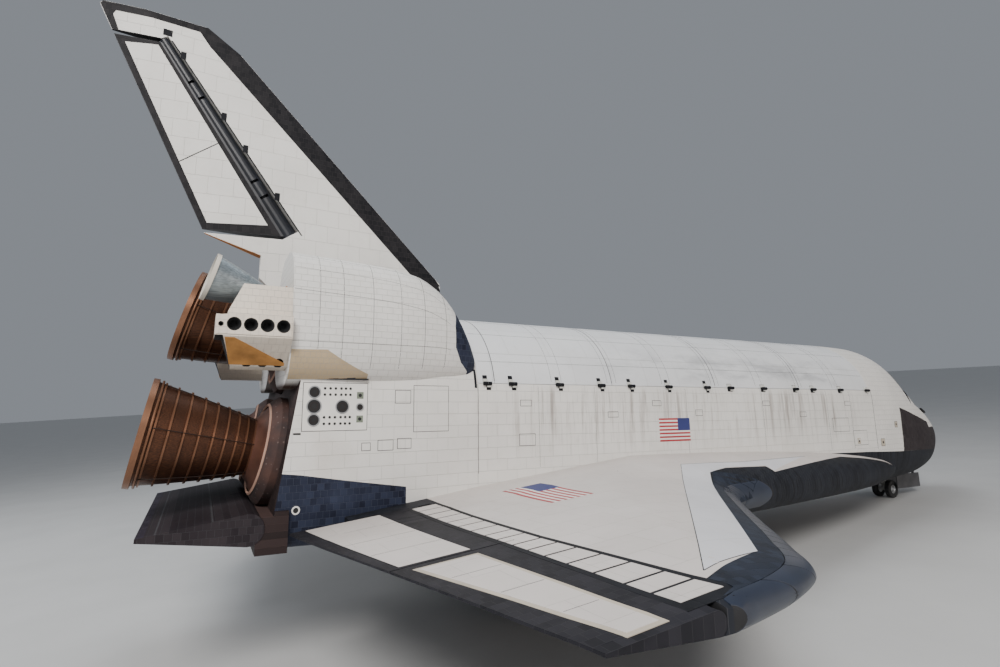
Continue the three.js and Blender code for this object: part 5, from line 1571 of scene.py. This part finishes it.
def orbital_engine(side, sign):
    place = engine_frame((OMS_GIMBAL[0], sign * OMS_GIMBAL[1], OMS_GIMBAL[2]), OMS_UP, sign * OMS_OUT)

    def radius(s):
        return 4 + 17.5 * ((s - 3) / 59) ** 0.62

    body = f"{side}_orbital"
    steps = 28
    outside = [(3 + 56.5 * i / steps, radius(3 + 56.5 * i / steps)) for i in range(steps + 1)]
    inside = [(s, max(r - 0.5, 1)) for s, r in reversed(outside) if s > 10]
    bell = lathe("bell", [(3, 0)] + outside + [(59.5, outside[-1][1] - 0.5)] + inside + [(9, 2), (9, 0)],
                 "orbital_bell", place)
    rim = lathe("rim", [(58, radius(58) - 0.6), (58.3, 22.3), (62, 22.3), (62, 21.2), (59, radius(59) - 0.8)],
                "cream", place)
    hoop = lathe("hoop", [(30, radius(30) - 0.2), (30.2, radius(30) + 0.5), (31.4, radius(31.4) + 0.5),
                          (31.6, radius(31.6) - 0.2)], "orbital_bell", place)
    ball = lathe("ball", [(-2, 0), (-1.4, 1.4), (0, 2), (3, 3.6), (6, 5.6), (6, 0)], "metal", place, 32)
    keep(join_all(f"{side}_orbital_bell", [bell, hoop, ball]), body,
         (f"{side}_orbital_engine",))
    keep(rim, body)
    rim.name = f"{side}_orbital_rim"
    collar = lathe(f"{side}_orbital_collar", [(-9.6, 4), (-9.6, 21), (-6, 20), (-2.5, 9.5), (-2.5, 4)], "rust", place, 48)
    cut(collar, rod("room", place_point(place, -12), place_point(place, 2), 3.9, "seam", sides=32))
    keep(collar, "airframe")


def place_point(matrix, s, y=0.0, z=0.0):
    """A point of a local frame, in stations."""
    return to_row.inverted() @ matrix @ Vector((s, y, z))


# Main engines, domes, base and flap

ENGINES = (
    {"name": "centre", "at": (1445, 0, 443), "up": 16, "out": 0, "foot": 40},
    {"name": "starboard", "at": (1468.17, 53, 342.64), "up": 10, "out": 3.5, "foot": 32},
    {"name": "port", "at": (1468.17, -53, 342.64), "up": 10, "out": -3.5, "foot": 32},
)
BELL_THROAT = 40
BELL_LENGTH = 157
BELL_EXIT = 46.5
BELL_NECK = 15
DOME_RADIUS = 69
HATBANDS = (63.5, 71, 79.5, 89, 99.5, 111, 123, 135, 146)


def bell_radius(s):
    return BELL_NECK + (BELL_EXIT - BELL_NECK) * ((s - BELL_THROAT) / (BELL_LENGTH - BELL_THROAT)) ** 0.68


def main_engine(engine):
    place = engine_frame(engine["at"], math.radians(engine["up"]), math.radians(engine["out"]))
    body = f"{engine['name']}_engine"
    steps = 40
    outside = [(BELL_THROAT + 0.5 + 113 * i / steps, bell_radius(BELL_THROAT + 0.5 + 113 * i / steps))
               for i in range(steps + 1)]
    inside = [(s, bell_radius(s) - 1.1) for s, r in reversed(outside) if s > 55]
    profile = [(39, 0), (39, 14)] + outside + [(156.6, BELL_EXIT + 0.2), (156.6, BELL_EXIT - 1.1)] + inside
    bell = lathe("bell", profile + [(52, 6), (52, 0)], "bell", place, 120)
    power_head = lathe("head", [(-3, 0), (-2, 2.2), (0, 3), (6, 9), (14, 25), (36, 25), (39.5, 14), (39.5, 0)],
                       "gear_box", place, 48)
    replaced = (f"{engine['name']}_main_engine",)
    keep_all(f"{engine['name']}_bell", [bell, power_head], body, replaced)
    lining = lathe(f"{engine['name']}_bell_lining",
                   [(s, bell_radius(s) - 1.05) for s in (60, 90, 120, 153)]
                   + [(s, bell_radius(s) - 1.35) for s in (153, 120, 90, 60)], "bell_inside", place, 120)
    keep(lining, body)
    bands = []
    for s in HATBANDS:
        r0, r1 = bell_radius(s - 0.9), bell_radius(s + 0.9)
        bands.append(lathe("band", [(s - 0.9, r0 - 0.3), (s - 0.75, r0 + 1.5), (s + 0.75, r1 + 1.5),
                                    (s + 0.9, r1 - 0.3)], "band", place, 120))
    lip = [(151.5, bell_radius(151.5) - 0.3), (152, BELL_EXIT + 1.6), (157, BELL_EXIT + 1.6),
           (157, BELL_EXIT - 0.9), (155.5, BELL_EXIT - 1.0), (155.2, BELL_EXIT - 0.3)]
    bands.append(lathe("lip", lip, "band", place, 120))
    keep(join_all(f"{engine['name']}_bell_bands", bands), body)
    keep(bell_lines(engine, place), body)
    keep(bell_shield(engine, place), body)
    engine_dome(engine, place)


def bell_lines(engine, place):
    """Drain lines along the bell and the feed ring near its lip."""
    tubes = []
    for k in range(6):
        angle = math.radians(8 + 60 * k)
        path = []
        for i in range(22):
            s = 62 + (150 - 62) * i / 21
            r = bell_radius(s) + 1.9
            path.append(place @ Vector((s, r * math.cos(angle), r * math.sin(angle))))
        tubes.append(tube("line", path, 0.35 * INCH, "gear_box"))
    ring = []
    for i in range(64):
        angle = 2 * math.pi * i / 64
        r = bell_radius(148.8) + 1.5
        ring.append(place @ Vector((148.8, r * math.cos(angle), r * math.sin(angle))))
    tubes.append(tube("ring", ring, 1.1 * INCH, "band", closed=True))
    return join_all(f"{engine['name']}_bell_lines", tubes)


def tube(name, path, radius, look, sides=8, closed=False):
    """A round tube through points given in the row's frame."""
    count = len(path)
    vertices, faces = [], []
    normal = None
    for i, point in enumerate(path):
        if closed:
            ahead = (path[(i + 1) % count] - path[i - 1]).normalized()
        else:
            ahead = (path[min(i + 1, count - 1)] - path[max(i - 1, 0)]).normalized()
        if normal is None:
            normal = ahead.orthogonal().normalized()
        normal = (normal - ahead * normal.dot(ahead)).normalized()
        other = ahead.cross(normal)
        for k in range(sides):
            angle = 2 * math.pi * k / sides
            vertices.append(point + radius * (math.cos(angle) * normal + math.sin(angle) * other))
    for i in range(count if closed else count - 1):
        j = (i + 1) % count
        for k in range(sides):
            m = (k + 1) % sides
            faces.append((i * sides + k, i * sides + m, j * sides + m, j * sides + k))
    if not closed:
        faces.append(tuple(range(sides)))
        faces.append(tuple(range((count - 1) * sides, count * sides)))
    return object_of(name, vertices, faces, look, Matrix.Identity(4))


def bell_shield(engine, place):
    rim = DOME_RADIUS - 1.2 - RUN - 1
    arc = [(rim * math.cos(math.radians(a)), rim * math.sin(math.radians(a))) for a in (37, 35, 33, 31, 29)]
    under = [(s - 1.4, r - 1.0) for s, r in reversed(arc)]
    profile = [*arc, (64.5, bell_radius(64.5) + 0.1), (62.5, bell_radius(62.5) + 0.1), *under]
    return lathe(f"{engine['name']}_engine_shield", profile, "shield", place, 120)


def engine_dome(engine, place):
    """The fixed dome round an engine: a dotted blanket and a pale rim."""
    def point(r, degrees):
        angle = math.radians(degrees)
        return (r * math.cos(angle), r * math.sin(angle))

    outer = [point(DOME_RADIUS + 0.1, a) for a in (38.4, 40, 42, 44, 46, 47.5)]
    foot = engine["foot"]
    wall = outer[-1][1]
    profile = [*outer, (foot + 0.2, wall), (foot + 0.2, wall - 1.6), *(point(DOME_RADIUS - 1.25, a)
                                                                      for a in (47.2, 44, 41, 38.4))]
    shell = lathe(f"{engine['name']}_dome_blanket", profile, "dome", place, 120)
    keep(shell, "airframe", (f"{engine['name']}_engine_dome",))
    rim = [point(DOME_RADIUS + 0.5, a) for a in (38.5, 37.5, 36.5)]
    rim += [point(DOME_RADIUS - 1.25, a) for a in (36.5, 38.5)]
    keep(lathe(f"{engine['name']}_dome_rim", rim, "dome_ring", place, 120), "airframe")


def base_pieces():
    """Tiles on the slanted base and its edge."""
    thickness = 0.7
    face = body_solid("base_tiles", 1480, 1533, 0.4, "base_tiles")
    lean = thickness
    slab = [(base_x(520), 520), (base_x(250), 250), (base_x(250) + lean, 250), (base_x(520) + lean, 520)]
    boolean(face, prism_y("slab", slab, (-140, 140)), "INTERSECT")
    for engine in ENGINES:
        place = engine_frame(engine["at"], math.radians(engine["up"]), math.radians(engine["out"]))
        room = DOME_RADIUS * math.sin(math.radians(47.5)) + 0.4
        cut(face, lathe("room", [(10, 0), (10, room), (110, room), (110, 0)], "seam", place, 120))
    cut(face, box("flap_room", (1480, 1640), (-128, 128), (240, 305)))
    keep(face, "airframe")


FLAP_HINGE = (1532, 291)
FLAP_TIP = (1613, 290.5)
FLAP_NOSE = 13
FLAP_HALF = 127


def flap_pieces():
    x, z = FLAP_HINGE
    tip_x, tip_z = FLAP_TIP
    lift = 0.15
    for name, up in (("upper", 1), ("lower", -1)):
        near, far = z + up * (FLAP_NOSE - 1.0), tip_z + up * 1.5
        rows = []
        count = 20
        for i in range(count):
            y0 = -FLAP_HALF + 2 * FLAP_HALF * i / count + 0.12
            y1 = y0 + 2 * FLAP_HALF / count - 0.24
            if abs((y0 + y1) / 2) < 1:
                continue
            surface = linear([x + 8, tip_x], [near + (far - near) * 8 / (tip_x - x), far])
            top = up * lift
            rows.append(loft("row", [
                [(x + 13, y, surface(x + 13) + top), (tip_x - 0.6, y, far + top), (tip_x - 0.6, y, far - up * 0.8),
                 (x + 13, y, surface(x + 13) - up * 0.8)] for y in (y0, y1)], "flap_tiles"))
        keep(join_all(f"flap_{name}_tiles", rows), "flap")


# Landing gear

WHEELS = {
    "main": {"x": 1172, "y": 137, "radius": 22, "width": 15, "offset": 17, "bore": 10.5, "hub": 4},
    "nose": {"x": 378, "y": 0, "radius": 15.8, "width": 8.6, "offset": 11, "bore": 7.8, "hub": 2.6},
}


def axle_height(wheel):
    ahead = MAIN_AXLE[0] - wheel["x"]
    return MAIN_GROUND_Z + ahead * math.tan(NOSE_DOWN) + wheel["radius"] / math.cos(NOSE_DOWN)


def tyre(name, wheel, centre_y, body, node):
    place = frame_at((wheel["x"], centre_y, axle_height(wheel)), (0, 1, 0))
    radius, w, bore = wheel["radius"], wheel["width"] / 2, wheel["bore"]
    profile = [(-w * 0.86, bore), (-w * 0.93, bore + 1.2)]
    side = 12
    for i in range(side + 1):
        angle = math.pi * (0.5 - i / side)
        out = abs(math.cos(angle)) ** 0.55
        profile.append((-w * (0.62 + 0.38 * out) if angle > 0 else -w * (0.62 + 0.38 * out),
                        bore + 1.4 + (radius - bore - 1.4) * (1 - (1 + math.sin(angle)) / 2)))
    tread = [(-0.36, 0), (-0.34, 0.35), (-0.30, 0.35), (-0.28, 0), (-0.06, 0), (-0.04, 0.35), (0.0, 0.35),
             (0.02, 0), (0.28, 0), (0.30, 0.35), (0.34, 0.35), (0.36, 0)]
    profile = [p for p in profile if p[1] < radius - 0.02]
    profile += [(-w * 0.62, radius)] + [(w * s, radius - d) for s, d in tread] + [(w * 0.62, radius)]
    mirrored = [(-s, r) for s, r in reversed(profile) if s < -w * 0.6 and r < radius - 0.02]
    made = lathe(name, profile + mirrored, "rubber", place, 96)
    keep(made, body, (node,), angle=40)


def hubs(name, wheel, body, node):
    z = axle_height(wheel)
    rim, w, offset, hub = wheel["bore"] - 0.05, wheel["width"] / 2, wheel["offset"], wheel["hub"]
    pieces = []
    for sign in (1, -1):
        place = frame_at((wheel["x"], wheel["y"], z), (0, sign, 0))
        face = offset + w * 0.3
        lip = offset + w * 0.8
        inner = offset - w * 0.8
        profile = [(inner, hub), (inner, rim), (lip, rim), (lip, rim - 0.7), (face + 0.6, rim - 1.6),
                   (face, rim - 2.6), (face + 0.4, rim * 0.55), (face + 1.2, hub * 1.25), (lip, hub * 0.95),
                   (lip + 0.1, hub * 0.2), (lip + 0.1, 0), (inner, 0)]
        disc = lathe("disc", profile, "hub", place, 72)
        for k in range(9):
            angle = 2 * math.pi * k / 9
            r = (rim + hub) * 0.5
            at = place_point(place, face - 1, r * math.cos(angle), r * math.sin(angle))
            out = Vector((0, sign, 0))
            cut(disc, rod("hole", at - out * 1.5, at + out * 6, rim * 0.11, "seam", sides=20))
        for k in range(12):
            angle = 2 * math.pi * (k + 0.5) / 12
            r = rim - 2.0
            at = place_point(place, face - 0.3, r * math.cos(angle), r * math.sin(angle))
            pieces.append(rod("bolt", at, at + Vector((0, sign, 0)) * 1.6, 0.42, "chrome", sides=6))
        pieces.append(disc)
    pieces.append(rod("axle", (wheel["x"], wheel["y"] - offset, z), (wheel["x"], wheel["y"] + offset, z),
                      hub * 0.6, "chrome"))
    keep(join_all(name, pieces), body, (node,))


def wheels():
    for side, sign in SIDES:
        main = dict(WHEELS["main"])
        main["y"] = sign * main["y"]
        for place, out in (("outer", 1), ("inner", -1)):
            tyre(f"{side}_{place}_tyre", main, main["y"] + sign * out * main["offset"], f"{side}_wheels",
                 f"{side}_main_{place}_tyre")
        hubs(f"{side}_wheel_hubs", main, f"{side}_wheels", f"{side}_main_hubs")
        tyre(f"{side}_front_tyre", WHEELS["nose"], sign * WHEELS["nose"]["offset"], "nose_wheels",
             f"{side}_nose_tyre")
    hubs("front_wheel_hubs", WHEELS["nose"], "nose_wheels", "nose_hubs")


def gear_details():
    """Rings, lines and cylinders on the legs, which keep their own solids."""
    for side, sign in SIDES:
        wheel = WHEELS["main"]
        x, y, z = wheel["x"], sign * wheel["y"], axle_height(wheel)
        pieces = [
            rod("piston", (x, y, z + 3), (x, y, z + 27), 4.35, "chrome", sides=40),
            rod("gland", (x, y, z + 26), (x, y, z + 30), 7.2, "metal", sides=40),
            rod("band", (x, y, z + 44), (x, y, z + 47), 7.0, "metal", sides=40),
            rod("sleeve", (x, y, z + 30), (x, y, z + 88), 6.6, "metal", sides=40),
        ]
        for k, shift in enumerate((-2.2, 2.2)):
            path = [to_row @ Vector(p) for p in (
                (x + 5 + k, y + shift, z + 6), (x + 8.5 + k, y + shift, z + 16), (x + 8 + k, y + shift, z + 30),
                (x + 7.4, y + shift, z + 50), (x + 7.2, y + shift, z + 84))]
            pieces.append(tube("line", path, 0.35 * INCH, "port_dark"))
        keep(join_all(f"{side}_leg_details", pieces), "airframe")
    wheel = WHEELS["nose"]
    x, z = wheel["x"], axle_height(wheel)
    pieces = [
        rod("sleeve", (x, 0, z + 24.4), (x, 0, z + 76), 5.5, "metal", 6.2, 40),
        rod("collar", (x, 0, z + 40), (x, 0, z + 48), 6.6, "metal", sides=40),
        rod("steer", (x - 4, -9, z + 44), (x - 4, 9, z + 44), 2.2, "chrome", sides=24),
    ]
    keep(join_all("front_leg_details", pieces), "airframe")


# Bay interior


def bay_details():
    """Frames inside the payload bay."""
    radius = 89.6
    ribs = []
    for i in range(13):
        x = 603 + 56 * i + 22
        rings = []
        count = 40
        for k in range(count + 1):
            angle = math.pi + math.pi * k / count
            c, s = math.cos(angle), math.sin(angle)
            rings.append([(x - 1.6, radius * c, 400 + radius * s), (x + 1.6, radius * c, 400 + radius * s),
                          (x + 1.6, (radius - 2.4) * c, 400 + (radius - 2.4) * s),
                          (x - 1.6, (radius - 2.4) * c, 400 + (radius - 2.4) * s)])
        ribs.append(loft("rib", rings, "structure"))
    keep(join_all("bay_frames", ribs), "airframe")


# What the part stands on, and the light


def stage_and_light():
    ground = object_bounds()[0][2] - 0.002
    size = 900.0
    corners = [(-size, -size, ground), (size, -size, ground), (size, size, ground), (-size, size, ground)]
    mesh = bpy.data.meshes.new("floor")
    mesh.from_pydata(corners, [], [(0, 1, 2, 3)])
    mesh.materials.append(floor_material())
    floor = bpy.data.objects.new("floor", mesh)
    bpy.context.scene.collection.objects.link(floor)
    floor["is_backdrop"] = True
    world = bpy.data.worlds.new("studio")
    world.use_nodes = True
    background = world.node_tree.nodes["Background"]
    background.inputs["Color"].default_value = (0.80, 0.86, 0.95, 1)
    background.inputs["Strength"].default_value = 0.30
    bpy.context.scene.world = world
    for name, at, target, size, power, color in LIGHTS:
        data = bpy.data.lights.new(name, "AREA")
        data.shape = "DISK"
        data.size = size
        data.energy = power
        data.color = color
        lamp = bpy.data.objects.new(name, data)
        bpy.context.scene.collection.objects.link(lamp)
        lamp.location = at
        lamp.rotation_euler = (Vector(target) - Vector(at)).to_track_quat("-Z", "Y").to_euler()


# Name, place, target, diameter, power and colour of each lamp, in the row's metres
LIGHTS = (
    ("key", (-30.0, -42.0, 38.0), (0, 0, 5), 22.0, 34000.0, (1.0, 0.97, 0.94)),
    ("fill", (26.0, -44.0, 14.0), (2, 0, 4), 26.0, 4200.0, (1.0, 0.84, 0.72)),
    ("top", (-4.0, 10.0, 48.0), (0, 0, 5), 30.0, 8000.0, (0.90, 0.95, 1.0)),
    ("rear", (-46.0, 16.0, 22.0), (-10, 0, 8), 18.0, 6500.0, (0.95, 0.97, 1.0)),
)


def floor_material():
    s = Shader("floor")
    grain = s.noise(0.01, detail=4)
    color = s.mix(grain, (0.50, 0.50, 0.49), (0.60, 0.60, 0.59))
    return s.finish(color, roughness=0.55)


NODE_LOOKS = {
    "forward_fuselage": "interior", "windshield": "glass", "side_hatch": "interior",
    "crew_module": "interior", "mid_fuselage": "bay", "aft_fuselage": "base_tiles",
    "thrust_structure": "structure", "body_flap": "flap_body", "vertical_fin": "fin_white",
    "rudder_spine": "spine", "nose_gear_leg": "metal", "nose_gear_fork": "metal",
}
SIDE_NODE_LOOKS = {
    "rudder_panel": "rudder_inner", "bay_door": "bay", "radiator": "radiator", "wing": "belly",
    "inboard_elevon": "elevon_tiles", "outboard_elevon": "elevon_tiles", "main_gear_leg": "metal",
    "main_gear_door": "gear_door", "nose_gear_door": "gear_door",
}


def dress_nodes():
    looks = dict(NODE_LOOKS)
    for side, _ in SIDES:
        looks.update({f"{side}_{name}": look for name, look in SIDE_NODE_LOOKS.items()})
    for name, look in looks.items():
        for slot in frame["nodes"][name].material_slots:
            slot.material = LOOK[look]


def main():
    make_camera()
    dress_nodes()
    nose_cap()
    nose_thrusters()
    forward_skins()
    hatch_skin()
    windows()
    mid_skins()
    aft_skins()
    for side, sign in SIDES:
        door_skins(side, sign)
        hinge_marks(side, sign)
        side_panels(side, sign)
        umbilical_plate(side, sign)
        nose_details(side, sign)
        wing_skins(side, sign)
        elevon_plates(side, sign)
        leading_edge(side, sign)
        pod(side, sign)
        orbital_engine(side, sign)
    flags()
    fin_pieces()
    for engine in ENGINES:
        main_engine(engine)
    base_pieces()
    flap_pieces()
    wheels()
    gear_details()
    bay_details()
    stage_and_light()


main()
